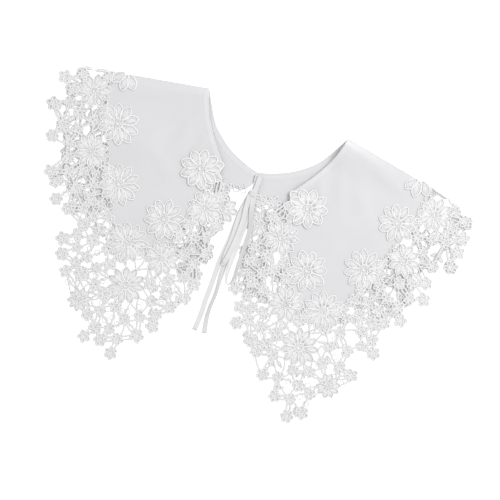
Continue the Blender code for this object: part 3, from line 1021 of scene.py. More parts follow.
@dataclass
class Motifs:
    """The lacemaker's motifs, each modelled once and copied wherever it is used."""

    petal_length: float = 20.0
    petal_width: float = 9.8
    full_round: float = 11.3            # petals of the usual width that fill a daisy
    bar_radius: float = 1.25
    loop_reach: float = 4.75
    centre_radius: float = 2.3
    disc_radius: float = 3.6
    masters: dict[str, Piece] = field(default_factory=dict)

    def build(self) -> None:
        """Models every motif."""
        self.masters = {
            "petal": self.petal(), "button": self.button(), "loop": self.ring(1.9, 1.0, 9),
            "bar": self.bar(0.9), "scroll": self.bar(3.0), "ring": self.ring(3.4, 0.75, 12),
            "leaf": self.leaf(), "eye": self.eye(),
        }
        for name, net in MOTIF_NET.items():
            grey_over(self.masters[name], net)
        self.masters["five"] = self.flower(5)
        self.masters["six"] = self.flower(6)
        LOG.info("%d lace motifs modelled", len(self.masters))

    def clear(self) -> None:
        """Removes the masters."""
        for master in self.masters.values():
            bpy.data.objects.remove(master)

    def petal(self) -> Piece:
        """A daisy's petal with its base at the origin, along X: a net almond in a raised cord."""
        middle = self.petal_length / 2
        rim = almond(self.petal_length - 1.2, self.petal_width - 1.2, 18, middle)
        inner = almond(self.petal_length * 0.6, self.petal_width * 0.46, 14, middle * 1.08)
        parts = [
            outline_cord("rim", rim, 0.82, 6, 0.7),
            outline_cord("rib", inner, 0.55, 4, 0.58),
            plate("body", rim, 0.12, 0.45),
        ]
        return join(parts, "petal")

    def button(self) -> Piece:
        """A small flower's petal: a round button of thread, 2 mm across, with a dip in the middle."""
        deselect()
        bpy.ops.mesh.primitive_circle_add(vertices=9, radius=1.0 * MM, fill_type="NGON")
        obj = added("button")
        steps = []
        for rise, spread in ((0.5, 1.0), (0.45, 0.8), (0.02, 0.62), (-0.5, 0.5)):
            lift = {"value": (0.0, 0.0, rise * MM)}
            steps += [
                lambda move=lift: bpy.ops.mesh.extrude_region_move(TRANSFORM_OT_translate=move),
                lambda size=spread: bpy.ops.transform.resize(value=(size, size, 1.0)),
            ]
        edit(obj, *steps)
        face_outwards(obj)
        return obj

    def bar(self, bow_depth: float) -> Piece:
        """A bowed bar of twisted thread 1 m long, to be scaled along X.

        Args:
            bow_depth: how far its middle stands aside, in millimetres.

        Returns:
            The bar.
        """
        obj, around, along = grid("bar", 4, 6)
        bow = np.sin(along * np.pi)
        thick = self.bar_radius * np.where(np.abs(along - 0.5) > 0.49, 0.0, 1.0)
        angle = around * 2 * np.pi
        x = along - 0.5
        y = (bow * bow_depth + np.cos(angle) * thick) * MM
        z = (0.7 + np.sin(angle) * thick * 0.65) * MM
        write_points(obj, np.stack([x, y, z], axis=1))
        edit(obj, lambda: bpy.ops.mesh.remove_doubles(threshold=SAME_PLACE))
        face_outwards(obj)
        return obj

    def ring(self, radius: float, cord: float, count: int) -> Piece:
        """A small open ring of thread, of a radius in millimetres."""
        around = np.arange(count) / count * 2 * np.pi
        outline = np.stack([np.cos(around), np.sin(around)], axis=1) * radius
        return outline_cord("ring", outline, cord, 4, cord)

    def eye(self) -> Piece:
        """The net inside a small flower's petal."""
        around = np.arange(6) / 6 * 2 * np.pi
        return plate("eye", np.stack([np.cos(around), np.sin(around)], axis=1) * 1.2, 0.1, 0.45)

    def leaf(self) -> Piece:
        """A small leaf along X, with a raised edge."""
        outline = almond(11.0, 4.6, 12, 5.5)
        edge, blade = outline_cord("edge", outline, 0.6, 4, 0.6), plate("blade", outline, 0.2, 0.5)
        return join([edge, blade], "leaf")

    def flower(self, petals: int) -> Piece:
        """A small flower of open loops round a raised centre, 15 mm across.

        Args:
            petals: how many loops.

        Returns:
            The flower.
        """
        size = LOOP_SIZES[petals]
        copies = []
        for i in range(petals):
            place = spun(2 * math.pi * i / petals) @ moved(self.loop_reach, 0.0)
            copies.append(copy_of(self.masters["loop"], place @ sized(size * 1.06, size, 0.75)))
            copies.append(copy_of(self.masters["eye"], place))
        centre = copy_of(self.masters["button"], sized(self.centre_radius, self.centre_radius))
        grey_over(centre, CENTRE_NET)
        copies.append(centre)
        return join(copies, "flower")

    def daisy(self, design: Daisy, rng: random.Random) -> list[Piece]:
        """The petals and the centre of a daisy about the origin.

        Args:
            design: the daisy.
            rng: source of its small unevennesses.

        Returns:
            Its parts.
        """
        start = design.radius * 0.19
        scale = design.radius / USUAL_RADIUS
        parts = []
        for i, angle in enumerate(design.headings()):
            angle += rng.uniform(-0.05, 0.05)
            length = (design.radius - start) / self.petal_length * rng.uniform(0.96, 1.06)
            width = scale * rng.uniform(0.98, 1.12) * self.full_round / design.petals
            place = spun(angle) @ moved(start, 0.0, 0.12 * (i % 2))
            parts.append(copy_of(self.masters["petal"], place @ sized(length, width)))
        if design.sector:
            return parts
        tilt = spun(2 * math.pi * design.phase)
        for share, rise in ((1.2, 1.3), (0.62, 1.35)):
            shape = sized(design.oval * scale * share, scale * share, rise)
            parts.append(copy_of(self.masters["ring"], tilt @ shape))
        disc = sized(self.disc_radius * design.oval * scale, self.disc_radius * scale, 0.9)
        parts.append(copy_of(self.masters["button"], tilt @ disc))
        return parts


def drape(obj: Piece, wing: Wing, swung: bool, surface: Callable) -> None:
    """Lays a piece modelled flat in the right wing's plan onto a wing.

    Args:
        obj: the piece, with its places measured from the neck point.
        wing: the wing.
        swung: whether it swings with the front.
        surface: height of the wing's surface from turn and reach.
    """
    points = read_points(obj) / MM
    turn, reach = polar(points[:, 0], points[:, 1])
    x, y = wing.place(turn, reach, swung)
    z = points[:, 2] + surface(np.maximum(turn, 0.0), reach)
    set_places(obj, x, y, z)
    if wing.side < 0:
        edit(obj, lambda: bpy.ops.mesh.flip_normals())


@dataclass
class LaceBorder:
    """A guipure border: daisies and small flowers joined by bars, with single flowers along its edge."""

    wing: Wing
    layer: Layer
    seed: int
    daisies: tuple[Daisy, ...]
    spacing: float = 15.5
    edge_spacing: tuple[float, float] = (16.0, 23.0)
    rim_spacing: float = 16.5       # least distance of an edge flower from the others
    seam_spacing: float = 12.5      # and of a flower along the cloth's edge
    seam_pitch: float = 13.5
    edging_pitch: float = 8.0
    tries: int = 2600
    daisy_gap: float = 3.5
    fold_gap: float = 5.0
    neck_gap: float = -98.0
    centre_gap: float = 9.0
    ties_gap: float = 15.0
    bar_limit: float = 30.0
    rim_bar_limit: float = 17.0
    bar_clearance: float = 0.88     # of half a bar's length: no motif comes nearer to its middle
    stem_chance: float = 0.6
    pair_chance: float = 0.1
    stem_offset: float = 1.25
    recess_chance: float = 0.6      # edge flowers hang near the outline or well inside it
    near_rim: tuple[float, float] = (6.5, 9.5)
    deep_rim: tuple[float, float] = (19.0, 27.0)
    seam_inset: tuple[float, float] = (-4.5, 2.0)
    edging_inset: tuple[float, float] = (-2.2, 1.6)
    echo_scatter: float = 1.6
    overlap: float = 5.0            # the lace climbs onto the cloth over this width
    ornament_gap: float = 14.0      # rings and leaves on bars keep this far from the fold
    ornament_length: float = 18.0   # and need a bar of this length

    def __post_init__(self) -> None:
        """Chooses the border's edges and starts its random numbers."""
        front = self.layer is Layer.FRONT
        self.inner = FRONT_CLOTH_EDGE if front else BACK_CLOTH_EDGE
        self.outer = FRONT_LACE_EDGE if front else BACK_LACE_EDGE
        self.last_turn = FRONT_CORNER if front else BACK_LACE_CORNER
        self.rng = random.Random(self.seed)
        self.flowers: list[np.ndarray] = []
        self.rim: list[np.ndarray] = []
        self.recessed = False

    def clear_of(self, place: np.ndarray, gap: float) -> bool:
        """Whether a small flower at a place would be clear of the daisies and the other flowers."""
        for daisy in self.daisies:
            away = np.linalg.norm(place - from_neck_point(daisy.turn, daisy.reach))
            if away < daisy.radius + self.daisy_gap:
                return False
        return all(np.linalg.norm(place - other) >= gap for other in self.flowers + self.rim)

    def inside(self, place: np.ndarray) -> bool:
        """Whether a flower at a place keeps clear of the shoulder fold, the centre line and the ties."""
        if self.at_neck(place) or self.from_fold(place) < self.fold_gap:
            return False
        gap = self.centre_gap if place[1] > LOOPS_START else self.ties_gap
        return place[0] > gap - NECK_HALF_WIDTH

    def at_neck(self, place: np.ndarray) -> bool:
        """Whether a place is by the front corner of the neckline, which stays free of flowers."""
        return place[1] > self.neck_gap and self.from_fold(place) > 60.0

    def from_fold(self, place: np.ndarray) -> float:
        """Distance of a place from the shoulder fold."""
        turn, reach = polar(*place)
        return reach * math.sin(math.radians(turn))

    def rim_inset(self, turn: float) -> float:
        """How far inside the outline the next flower of the edge hangs: near it, or well inside."""
        self.recessed = not self.recessed and self.rng.random() < self.recess_chance
        inset = self.rng.uniform(*(self.deep_rim if self.recessed else self.near_rim))
        return min(inset, 0.55 * float(self.outer(turn) - self.inner(turn)))

    def echo(self, upper: "LaceBorder") -> None:
        """Repeats the flowers of the border that lies on this one near the shoulder fold.

        Args:
            upper: the border folded down over this one, already laid out.
        """
        for theirs, ours in ((upper.flowers, self.flowers), (upper.rim, self.rim)):
            for place in theirs:
                turn, reach = polar(*place)
                if turn < ECHO_END and reach < self.outer(turn) - 6.0:
                    scatter = (self.rng.uniform(-self.echo_scatter, self.echo_scatter) for _ in place)
                    ours.append(place + np.array(list(scatter)))

    def along(
        self, edge: Curve, inset: Callable[[float], float], steps: Callable[[], float]
    ) -> list[np.ndarray]:
        """Places along an edge.

        Args:
            edge: the edge's curve of reach by turn.
            inset: draws how far inside the edge the next place is, at a turn.
            steps: draws the distance to the next place.

        Returns:
            The places.
        """
        turns = np.linspace(0.5, self.last_turn, 1200)
        line = from_neck_point(turns, edge(turns))
        run = np.concatenate([[0.0], np.cumsum(np.linalg.norm(np.diff(line, axis=0), axis=1))])
        places, at = [], 5.0
        while at < run[-1]:
            turn = float(np.interp(at, run, turns))
            places.append(from_neck_point(turn, float(edge(turn)) - inset(turn)))
            at += steps()
        return places

    def lay_out(self) -> None:
        """Chooses the places of the small flowers: along both edges first, then between them."""
        for place in self.along(
                self.outer, self.rim_inset, lambda: self.rng.uniform(*self.edge_spacing)):
            if self.inside(place) and self.clear_of(place, self.rim_spacing):
                self.rim.append(place)
        for place in self.along(
                self.inner, lambda turn: self.rng.uniform(*self.seam_inset), lambda: self.seam_pitch):
            turn, reach = polar(*place)
            short_of_rim = reach < self.outer(turn) - 14.0
            if self.inside(place) and short_of_rim and self.clear_of(place, self.seam_spacing):
                self.flowers.append(place)
        for gap in (self.spacing, self.spacing - 1.2):
            for _ in range(self.tries):
                turn = self.rng.uniform(0.0, self.last_turn)
                low, high = float(self.inner(turn)) + 5.0, float(self.outer(turn)) - 22.0
                if high <= low:
                    continue
                place = from_neck_point(turn, math.sqrt(self.rng.uniform(low * low, high * high)))
                near_fold = 0.8 if turn < ECHO_END else 0.0
                if self.inside(place) and self.clear_of(place, gap + near_fold):
                    self.flowers.append(place)

    def joints(self) -> list[tuple[np.ndarray, int]]:
        """Every place that a bar may start from, with the number of the motif that it is on."""
        places = [(place, i) for i, place in enumerate(self.flowers + self.rim)]
        for number, daisy in enumerate(self.daisies):
            centre = from_neck_point(daisy.turn, daisy.reach)
            for angle in daisy.headings():
                tip = np.array([math.cos(angle), math.sin(angle)]) * daisy.radius * 0.9
                places.append((centre + tip, DAISY_NUMBERS + number))
        return places

    def bars(self) -> list[tuple[np.ndarray, np.ndarray, bool]]:
        """The bars between neighbouring motifs, and whether each is a double stem."""
        joints = self.joints()
        first_rim, last_rim = len(self.flowers), len(self.flowers) + len(self.rim)
        points = np.array([place for place, _ in joints])
        found = []
        for i in range(len(joints)):
            for j in range(i + 1, len(joints)):
                if joints[i][1] == joints[j][1]:
                    continue
                a, b = points[i], points[j]
                length = np.linalg.norm(b - a)
                on_rim = (first_rim <= i < last_rim, first_rim <= j < last_rim)
                stem, both_rim = any(on_rim), all(on_rim)
                limit = self.bar_limit * (1.15 if stem else 1.0)
                if length > limit or (both_rim and length > self.rim_bar_limit):
                    continue
                gaps = np.linalg.norm(points - (a + b) / 2, axis=1)
                gaps[[i, j]] = length
                if gaps.min() > length / 2 * self.bar_clearance:
                    chance = self.stem_chance if stem and not both_rim else self.pair_chance
                    found.append((a, b, self.rng.random() < chance))
        return found

    def build(self, motifs: Motifs, finish: Finish) -> Piece:
        """Builds the border, flat first, then laid on its wing.

        Args:
            motifs: the modelled motifs.
            finish: the thread's material.

        Returns:
            The finished border.
        """
        parts = []
        for daisy in self.daisies:
            centre = moved(*from_neck_point(daisy.turn, daisy.reach))
            for part in motifs.daisy(daisy, self.rng):
                part.data.transform(centre)
                weaken(part, "net", BORDER_DAISY_NET)
                parts.append(part)
        for number, place in enumerate(self.flowers + self.rim):
            size = self.rng.uniform(*((1.0, 1.16) if number < len(self.flowers) else (1.1, 1.22)))
            turned = spun(self.rng.uniform(0.0, 2 * math.pi))
            lifted = moved(*place, self.rng.uniform(0.0, 0.12))
            kind = "five" if self.rng.random() < 0.55 else "six"
            parts.append(copy_of(motifs.masters[kind], lifted @ turned @ sized(size, size)))
        for a, b, double in self.bars():
            parts += self.bar(motifs, a, b, double)
        for near, far in ((118.0, 140.0), (140.0, float(self.outer(0.0)) - 3.0)):
            parts += self.bar(motifs, from_neck_point(0.6, near), from_neck_point(0.9, far), False)
        for place in self.along(
                self.inner, lambda turn: self.rng.uniform(*self.edging_inset),
                lambda: self.edging_pitch):
            if self.at_neck(place):
                continue
            size = self.rng.uniform(0.75, 1.25)
            parts.append(copy_of(motifs.masters["ring"], moved(*place) @ sized(size, size)))
        lace = join(parts, f"{self.wing.name}_{self.layer.value}_lace_motifs")
        drape(lace, self.wing, self.layer is Layer.FRONT, self.surface)
        return dress(lace, finish)

    def bar(
        self, motifs: Motifs, a: np.ndarray, b: np.ndarray, double: bool
    ) -> list[Piece]:
        """One bar or double stem between two places, sometimes with a ring or a leaf on it.

        Args:
            motifs: the modelled motifs.
            a: where it starts.
            b: where it ends.
            double: whether it is a double stem.

        Returns:
            Its parts.
        """
        middle, run = (a + b) / 2, b - a
        length, angle = float(np.linalg.norm(run)), math.atan2(run[1], run[0])
        aside = np.array([-math.sin(angle), math.cos(angle)])
        made = []
        for offset in (-self.stem_offset, self.stem_offset) if double else (0.0,):
            place = moved(*(middle + aside * offset)) @ spun(angle)
            bow = math.copysign(1.0, offset) if double else self.rng.choice((-1.0, 1.0))
            kind = "bar" if double or self.rng.random() < 0.65 else "scroll"
            made.append(copy_of(motifs.masters[kind], place @ sized(length * MM, bow)))
        roomy = length > self.ornament_length and self.from_fold(middle) > self.ornament_gap
        if roomy and self.rng.random() < 0.7:
            kind = self.rng.choice(("ring", "ring", "leaf"))
            twist = spun(angle + self.rng.choice((-1.0, 1.0)) * 0.9)
            made.append(copy_of(motifs.masters[kind], moved(*middle) @ twist))
        return made

    def surface(self, turn: np.ndarray, reach: np.ndarray) -> np.ndarray:
        """Height on which the lace lies: on the cloth's edge, then on what is below it."""
        height = self.wing.front_height if self.layer is Layer.FRONT else self.wing.back_height
        on_cloth = ease((self.inner(turn) + self.overlap - reach) / self.overlap)
        return height(turn, reach) + 0.1 + on_cloth * (CLOTH_TOP - 0.2)


# Ties


@dataclass(frozen=True)
class Stop:
    """A point of a tie's route: its place, and how far the ribbon leans from flat there, in degrees."""

    x: float
    y: float
    z: float
    lean: float = 0.0


LEFT_TIE = (
    Stop(1.6, -77.0, 2.9), Stop(2.4, -83.0, 2.9), Stop(3.4, -88.5, 3.0), Stop(3.8, -93.6, 3.3),
    Stop(2.6, -99.5, 4.9),
    Stop(1.2, -105.0, 5.4), Stop(1.8, -118.0, 3.8), Stop(3.6, -135.0, 2.8), Stop(3.4, -158.0, 2.6),
    Stop(2.0, -174.0, 2.8), Stop(0.6, -184.0, 3.1), Stop(-0.6, -189.6, 3.0), Stop(-1.0, -190.6, 2.5),
    Stop(-1.4, -188.0, 1.9), Stop(-2.2, -178.0, 1.6), Stop(-1.2, -158.0, 1.6), Stop(-2.4, -135.0, 1.7),
    Stop(-1.6, -118.0, 2.2), Stop(0.4, -105.0, 3.9),
    Stop(1.0, -100.8, 4.3), Stop(0.8, -100.6, 3.6),
    Stop(0.4, -105.0, 2.9), Stop(-2.2, -118.0, 0.9), Stop(-3.4, -135.0, 0.7), Stop(-3.8, -155.0, 0.7),
    Stop(-5.0, -175.0, 0.7), Stop(-6.2, -190.0, 0.7), Stop(-5.9, -206.0, 0.7), Stop(-5.9, -225.0, 0.7),
    Stop(-6.1, -240.0, 0.7), Stop(-5.4, -256.0, 0.7), Stop(-6.4, -277.5, 0.7),
)
RIGHT_TIE = (
    Stop(5.0, -77.0, 4.1), Stop(5.2, -83.0, 4.1), Stop(5.2, -88.5, 4.3), Stop(5.0, -93.6, 4.7),
    Stop(5.4, -99.8, 5.2),
    Stop(6.2, -106.4, 5.2), Stop(8.4, -117.0, 4.8, 18), Stop(11.6, -129.0, 4.5, 28),
    Stop(15.0, -142.0, 4.4, 34), Stop(16.0, -164.0, 4.4, 36), Stop(16.4, -184.0, 4.4, 38),
    Stop(16.8, -200.0, 4.6, 55), Stop(15.4, -209.4, 4.7, 75), Stop(12.4, -212.8, 4.7, 85),
    Stop(9.4, -209.4, 4.4, 75), Stop(7.4, -200.0, 3.4, 48), Stop(6.8, -188.0, 2.7, 26),
    Stop(7.2, -172.0, 2.1, 8), Stop(7.4, -155.0, 2.0), Stop(7.4, -132.0, 2.0), Stop(7.0, -117.0, 2.6),
    Stop(6.6, -105.0, 4.3),
    Stop(6.0, -100.8, 4.6), Stop(6.0, -100.6, 3.7),
    Stop(6.6, -105.0, 3.1), Stop(4.8, -118.0, 0.9), Stop(3.8, -135.0, 0.7), Stop(2.9, -155.0, 0.7),
    Stop(1.4, -175.0, 0.7), Stop(0.6, -190.0, 0.7, 5), Stop(1.2, -206.0, 1.6, 20),
    Stop(2.2, -220.0, 2.5, 38), Stop(2.5, -232.0, 2.5, 40), Stop(1.7, -246.0, 2.5, 38),
    Stop(2.8, -260.0, 1.8, 22), Stop(6.0, -277.0, 0.9, 4),
)


@dataclass
class Tie:
    """A ribbon tie in one piece: strap, through the knot, loop, through the knot again, and free tail."""

    name: str
    route: tuple[Stop, ...]
    width: float = 6.0
    wall: float = 0.5
    steps: int = 8
    upright_limit: float = 0.25

    def stations(self) -> np.ndarray:
        """Rows of x, y, z and lean along the smooth route, in millimetres."""
        keys = np.array([(s.x, s.y + NECK_LINE_Y, s.z, s.lean) for s in self.route])
        keys = np.vstack([keys[0] * 2 - keys[1], keys, keys[-1] * 2 - keys[-2]])
        rows = []
        for a, b, c, d in zip(keys, keys[1:], keys[2:], keys[3:]):
            for t in np.arange(self.steps) / self.steps:
                rows.append(
                    b * (1 - 3 * t * t + 2 * t ** 3) + c * (3 * t * t - 2 * t ** 3)
                    + (c - a) / 2 * (t - 2 * t * t + t ** 3) + (d - b) / 2 * (t ** 3 - t * t))
        rows.append(keys[-2])
        return np.array(rows)

    def widths(self, stations: np.ndarray) -> tuple[np.ndarray, np.ndarray]:
        """Which way the ribbon faces.

        Args:
            stations: rows of x, y, z and lean.

        Returns:
            Directions of the ribbon's width and of its thickness at each station.
        """
        centres = [Vector(row[:3]) for row in stations]
        last = len(centres) - 1
        ahead = [
            (centres[min(i + 1, last)] - centres[max(i - 1, 0)]).normalized() for i in range(last + 1)]
        across = Vector((0, 0, 1)).cross(ahead[0]).normalized()
        sideways, upward = [], []
        for i, heading in enumerate(ahead):
            if i:
                across = ahead[i - 1].rotation_difference(heading) @ across
            level = Vector((-heading.y, heading.x, 0.0))
            if level.length > self.upright_limit:
                across = level.normalized() * math.copysign(1.0, level.dot(across))
            lean = math.radians(float(stations[i][3]))
            width = Quaternion(heading, lean) @ across
            sideways.append(width)
            upward.append(heading.cross(width).normalized())
        return np.array(sideways), np.array(upward)

    def build(self, finish: Finish) -> Piece:
        """Builds the ribbon.

        Args:
            finish: the ribbon's material.

        Returns:
            The finished ribbon.
        """
        stations = self.stations()
        sideways, upward = self.widths(stations)
        count = len(stations)
        obj, across, along = grid(self.name, 8, count - 1)
        row = np.round(along * (count - 1)).astype(int)
        offset = (across - 0.5) * self.width
        curl = ((across - 0.5) * 2) ** 2 * 0.18
        points = stations[row, :3] + sideways[row] * offset[:, None] + upward[row] * curl[:, None]
        write_points(obj, points * MM)
        thicken(obj, self.wall, 0.0)
        face_outwards(obj)
        return dress(obj, finish)

    def path(self) -> list[tuple[float, float, float]]:
        """The ribbon's centre line in metres."""
        return [tuple(row) for row in self.stations()[:, :3] * MM]

    def length(self) -> float:
        """The ribbon's length in metres."""
        return float(np.linalg.norm(np.diff(self.stations()[:, :3], axis=0), axis=1).sum()) * MM


@dataclass
class Knot:
    """The bow's knot: ribbon wrapped twice round the straps, with its folds showing."""

    centre: tuple[float, float, float] = (4.2, -99.6, 5.0)
    size: tuple[float, float, float] = (10.2, 9.2, 4.7)
    folds: int = 3
    roundness: float = 3.2
    cuts: int = 23

    def build(self, finish: Finish) -> Piece:
        """Builds the knot.

        Args:
            finish: the ribbon's material.

        Returns:
            The finished knot.
        """
        deselect()
        bpy.ops.mesh.primitive_cube_add(size=2.0)
        obj = added("bow_knot")
        edit(obj, lambda: bpy.ops.mesh.subdivide(number_cuts=self.cuts))
        points = read_points(obj)
        spread = (np.abs(points) ** self.roundness).sum(axis=1) ** (1 / self.roundness)
        x, y, z = (points / spread[:, None]).T
        pinch = 1.0 - 0.2 * np.abs(x) ** 2
        wrap = 0.12 * np.sin((y + 0.35 * x) * np.pi * self.folds) * (1 - np.abs(y)) ** 0.3
        seam = -0.16 * np.exp(-(((y - 0.28 * x - 0.18) / 0.07) ** 2))
        swell = 1.0 + (wrap + seam) * np.clip(z + 0.6, 0.0, 1.0)
        half = np.array(self.size) / 2
        placed = np.stack([x, y * pinch, z * swell], axis=1) * half + np.array(self.centre)
        placed[:, 1] += NECK_LINE_Y
        write_points(obj, placed * MM)
        return dress(obj, finish)


# Staging


@dataclass(frozen=True)
class Studio:
    """A white table seen from straight above in soft, even light."""

    centre: tuple[float, float] = (0.0235, 0.0091)
    height: float = 1.4167
    lens: float = 85.0
    turn: float = 20.0
    glow: float = 0.42
    sky: float = 0.8
    lamp_place: tuple[float, float, float] = (0.9, 1.0, 1.5)
    lamp_size: float = 0.9
    lamp_power: float = 18.0

    def camera(self) -> None:
        """Sets up the camera."""
        data = bpy.data.cameras.new("camera")
        data.lens = self.lens
        data.sensor_width = 36.0
        data.clip_end = 50.0
        obj = bpy.data.objects.new("camera", data)
        obj.location = (*self.centre, self.height)
        obj.rotation_euler = (0.0, 0.0, math.radians(self.turn))
        bpy.context.collection.objects.link(obj)
        bpy.context.scene.camera = obj

    def floor(self) -> None:
        """Lays the table."""
        deselect()
        bpy.ops.mesh.primitive_plane_add(size=8.0, location=(0.0, 0.0, -0.0006))
        obj = added("table")
        made = Material("table_white", 0.9, 0.0)
        vector, _, _ = made.place()
        colour = made.blend(made.noise(vector, 3.0, 1.0), (0.93, 0.93, 0.93), (0.95, 0.95, 0.95))
        made.tree.links.new(colour, made.shader.inputs["Base Color"])
        made.shader.inputs["Emission Color"].default_value = (1.0, 1.0, 1.0, 1.0)
        made.shader.inputs["Emission Strength"].default_value = self.glow
        obj.data.materials.append(made.data)

    def lights(self) -> None:
        """Sets the sky's even light and one soft lamp from behind the right wing."""
        world = bpy.data.worlds.new("studio")
        world.use_nodes = True
        background = world.node_tree.nodes["Background"]
        background.inputs["Color"].default_value = (1.0, 1.0, 1.0, 1.0)
        background.inputs["Strength"].default_value = self.sky
        bpy.context.scene.world = world
        lamp = bpy.data.lights.new("softbox", "AREA")
        lamp.size = self.lamp_size
        lamp.energy = self.lamp_power
        obj = bpy.data.objects.new("softbox", lamp)
        obj.location = self.lamp_place
        obj.rotation_euler = (-Vector(self.lamp_place)).to_track_quat("-Z", "Y").to_euler()
        bpy.context.collection.objects.link(obj)
        view = bpy.context.scene.view_settings
        view.view_transform = "Standard"
        view.look = "None"


# Putting together


@dataclass
class Finishes:
    """The collar's materials."""

    cloth: Finish
    trim: Finish
    lace: Finish
    daisy: Finish
    thread: Finish
    ribbon: Finish

    @classmethod
    def made(cls) -> "Finishes":
        """Makes every material."""
        cotton = Cotton("fine_cotton", (0.722, 0.712, 0.724), (0.676, 0.668, 0.682), (0.75, 0.74, 0.755))
        trim = Cotton("cotton_trim", (0.75, 0.741, 0.753), (0.71, 0.702, 0.715), (0.79, 0.78, 0.80))
        guipure = Stitching(
            "guipure_thread", (0.90, 0.90, 0.90), (0.82, 0.82, 0.825), (0.77, 0.77, 0.776))
        daisy = Stitching(
            "daisy_thread", (0.89, 0.886, 0.89), (0.83, 0.826, 0.832), (0.76, 0.756, 0.764))
        sewing = Stitching("sewing_thread", (0.82, 0.81, 0.82), (0.76, 0.75, 0.76), (0.8, 0.8, 0.8), 0.0003)
        tape = Tape("ribbon_tape", (0.765, 0.757, 0.76), (0.70, 0.692, 0.695))
        return cls(*(finish.material() for finish in (cotton, trim, guipure, daisy, sewing, tape)))


@dataclass(frozen=True)
class Trim:
    """A strip sewn along one edge of each wing: which edge, how much of it, and the strip's own sizes.

    The edge runs from one place of its curve to another: reaches on a neckline, turns on an outer edge.
    """

    name: str
    layer: Layer
    edge: Curve
    first: float
    last: float
    width: float
    wall: float
    rows: tuple[float, ...]
    node: str | None = None

    def line(self) -> np.ndarray:
        """Points of the edge in the right wing's plan, a millimetre or so apart."""
        places = np.linspace(self.first, self.last, 160)
        if self.edge in (FRONT_NECKLINE, BACK_NECKLINE):
            return from_neck_point(self.edge(places), places)[::-1]
        return from_neck_point(places, self.edge(places))


TRIMS = (
    Trim("neck_binding", Layer.FRONT, FRONT_NECKLINE, 1.0, 92.8, 6.5, 0.18, (0.9, 5.6),
         "front_neck_binding"),
    Trim("neck_facing", Layer.BACK, BACK_NECKLINE, 3.0, 115.0, 8.0, 0.12, (1.2, 7.2),
         "back_neck_facing"),
    Trim("slit_hem", Layer.BACK, BACK_CLOTH_EDGE, 119.8, 129.6, 7.0, 0.14, (6.2,)),
)


def settle(obj: Piece, slot: str, *nodes: str) -> None:
    """Makes a piece ride on the collar and hides what it stands for."""
    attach(obj, BODY)
    if nodes:
        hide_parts(*nodes)
    LOG.info("%s: %d faces", obj.name, len(obj.data.polygons))


def plan_size(obj: Piece) -> tuple[float, float]:
    """An object's extent along x and y, in metres."""
    points = read_points(obj)
    low, high = points.min(axis=0), points.max(axis=0)
    return float(high[0] - low[0]), float(high[1] - low[1])


def band_area(inner: Curve | None, outer: Curve, last_turn: float) -> float:
    """Area in square metres between two edges of a wing, from the shoulder seam to a turn."""
    turns = np.linspace(0.0, last_turn, 600)
    near = inner(turns) if inner else np.zeros(len(turns))
    far = outer(turns)
    return float(np.sum((far ** 2 - near ** 2) / 2) * math.radians(last_turn / 600)) * MM * MM


def place_daisy(
    daisy: Piece, design: Daisy, panel: ClothPanel, finish: Finish, lift: float
) -> None:
    """Lays a daisy on a cloth panel.

    Args:
        daisy: the joined daisy about the origin.
        design: its place.
        panel: the panel below it.
        finish: the thread's material.
        lift: how far it lies above the cloth, for a trim between them.
    """
    daisy.data.transform(moved(*from_neck_point(design.turn, design.reach)))
    drape(daisy, panel.wing, True, lambda turn, reach: panel.surface(turn, reach) + 0.05 + lift)
    dress(daisy, finish)


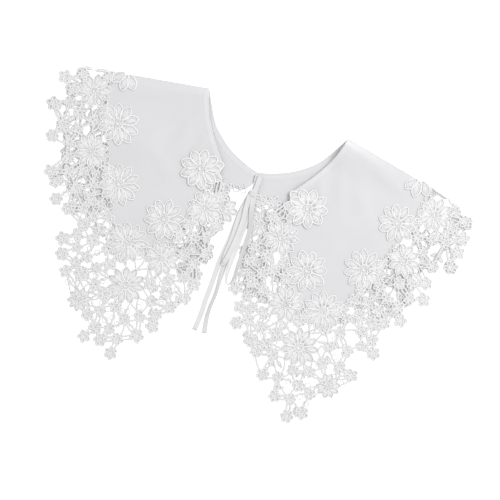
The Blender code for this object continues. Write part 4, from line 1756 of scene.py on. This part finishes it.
def build_wing(wing: Wing, motifs: Motifs, finishes: Finishes, seed: int) -> None:
    """Builds one wing with its trims, lace and daisies.

    Args:
        wing: the wing.
        motifs: the lace motifs.
        finishes: the materials.
        seed: start of the lace's random numbers.
    """
    name = wing.name
    front = ClothPanel(wing, Layer.FRONT, 120, 90)
    back = ClothPanel(wing, Layer.BACK, 110, 70)
    back_cloth = back.build(finishes.cloth)
    settle(back_cloth, "cotton_cloth", f"{name}_back_panel")
    front_cloth = front.build(finishes.cloth)
    settle(front_cloth, "cotton_cloth", f"{name}_front_panel")
    fold = ShoulderFold(wing).build(front, back, finishes.cloth)
    settle(fold, "cotton_cloth")

    sewn_on: dict[Layer, list[Piece]] = {Layer.FRONT: [], Layer.BACK: []}
    for trim in TRIMS:
        panel = front if trim.layer is Layer.FRONT else back
        strip, stitches = EdgeStrip(
            panel, f"{name}_{trim.name}", trim.line(), trim.width, trim.wall, trim.rows,
        ).build(finishes.trim, finishes.thread)
        settle(strip, "cotton_trim", *([f"{name}_{trim.node}"] if trim.node else []))
        settle(stitches, "cotton_trim")
        sewn_on[trim.layer] += [strip, stitches]

    front_border = LaceBorder(wing, Layer.FRONT, seed + 1, FRONT_BORDER_DAISIES)
    front_border.lay_out()
    back_border = LaceBorder(wing, Layer.BACK, seed, BACK_BORDER_DAISIES, spacing=22.0)
    back_border.echo(front_border)
    back_border.lay_out()
    back_lace = back_border.build(motifs, finishes.lace)
    settle(back_lace, "guipure_lace", f"{name}_back_lace")
    front_lace = front_border.build(motifs, finishes.lace)
    settle(front_lace, "guipure_lace", f"{name}_front_lace")
    rng = random.Random(seed + 2)
    fold_petals = join(motifs.daisy(FOLD_DAISY, rng), f"{name}_fold_petals")
    place_daisy(fold_petals, FOLD_DAISY, front, finishes.daisy, 0.0)
    settle(fold_petals, "daisy_lace")
    for node, design in APPLIQUES.items():
        over_binding = 0.5 if node == "daisy_3" else 0.0
        daisy = join(motifs.daisy(design, rng), f"{name}_{node}_flower")
        place_daisy(daisy, design, front, finishes.daisy, over_binding)
        settle(daisy, "daisy_lace", f"{name}_{node}")

    plan_size(back_cloth)
    band_area(None, BACK_CLOTH_EDGE, SLIT_TOP)
    plan_size(front_cloth)
    band_area(None, FRONT_CLOTH_EDGE, FRONT_CORNER)
    plan_size(back_lace)
    band_area(BACK_CLOTH_EDGE, BACK_LACE_EDGE, SLIT_TOP)
    plan_size(front_lace)
    band_area(FRONT_CLOTH_EDGE, FRONT_LACE_EDGE, FRONT_CORNER)


def main() -> None:
    """Builds the whole collar in its studio."""
    logging.basicConfig(level=logging.INFO, format="%(message)s")
    studio = Studio()
    studio.camera()
    finishes = Finishes.made()
    knot = Knot().build(finishes.ribbon)
    settle(knot, "ribbon", "tie_knot")
    for side, route in (("left", LEFT_TIE), ("right", RIGHT_TIE)):
        tie = Tie(f"{side}_ribbon_tie", route)
        ribbon = tie.build(finishes.ribbon)
        settle(ribbon, "ribbon", *(f"{side}_tie_{part}" for part in ("strap", "loop", "tail")))
        tie.path()[0]
        tie.length()
        tie.width * MM
        tie.path()
    studio.floor()
    studio.lights()
    motifs = Motifs()
    motifs.build()
    for number, wing in enumerate(WINGS):
        build_wing(wing, motifs, finishes, 40 + 10 * number)
    motifs.clear()


if __name__ == "__main__":
    main()
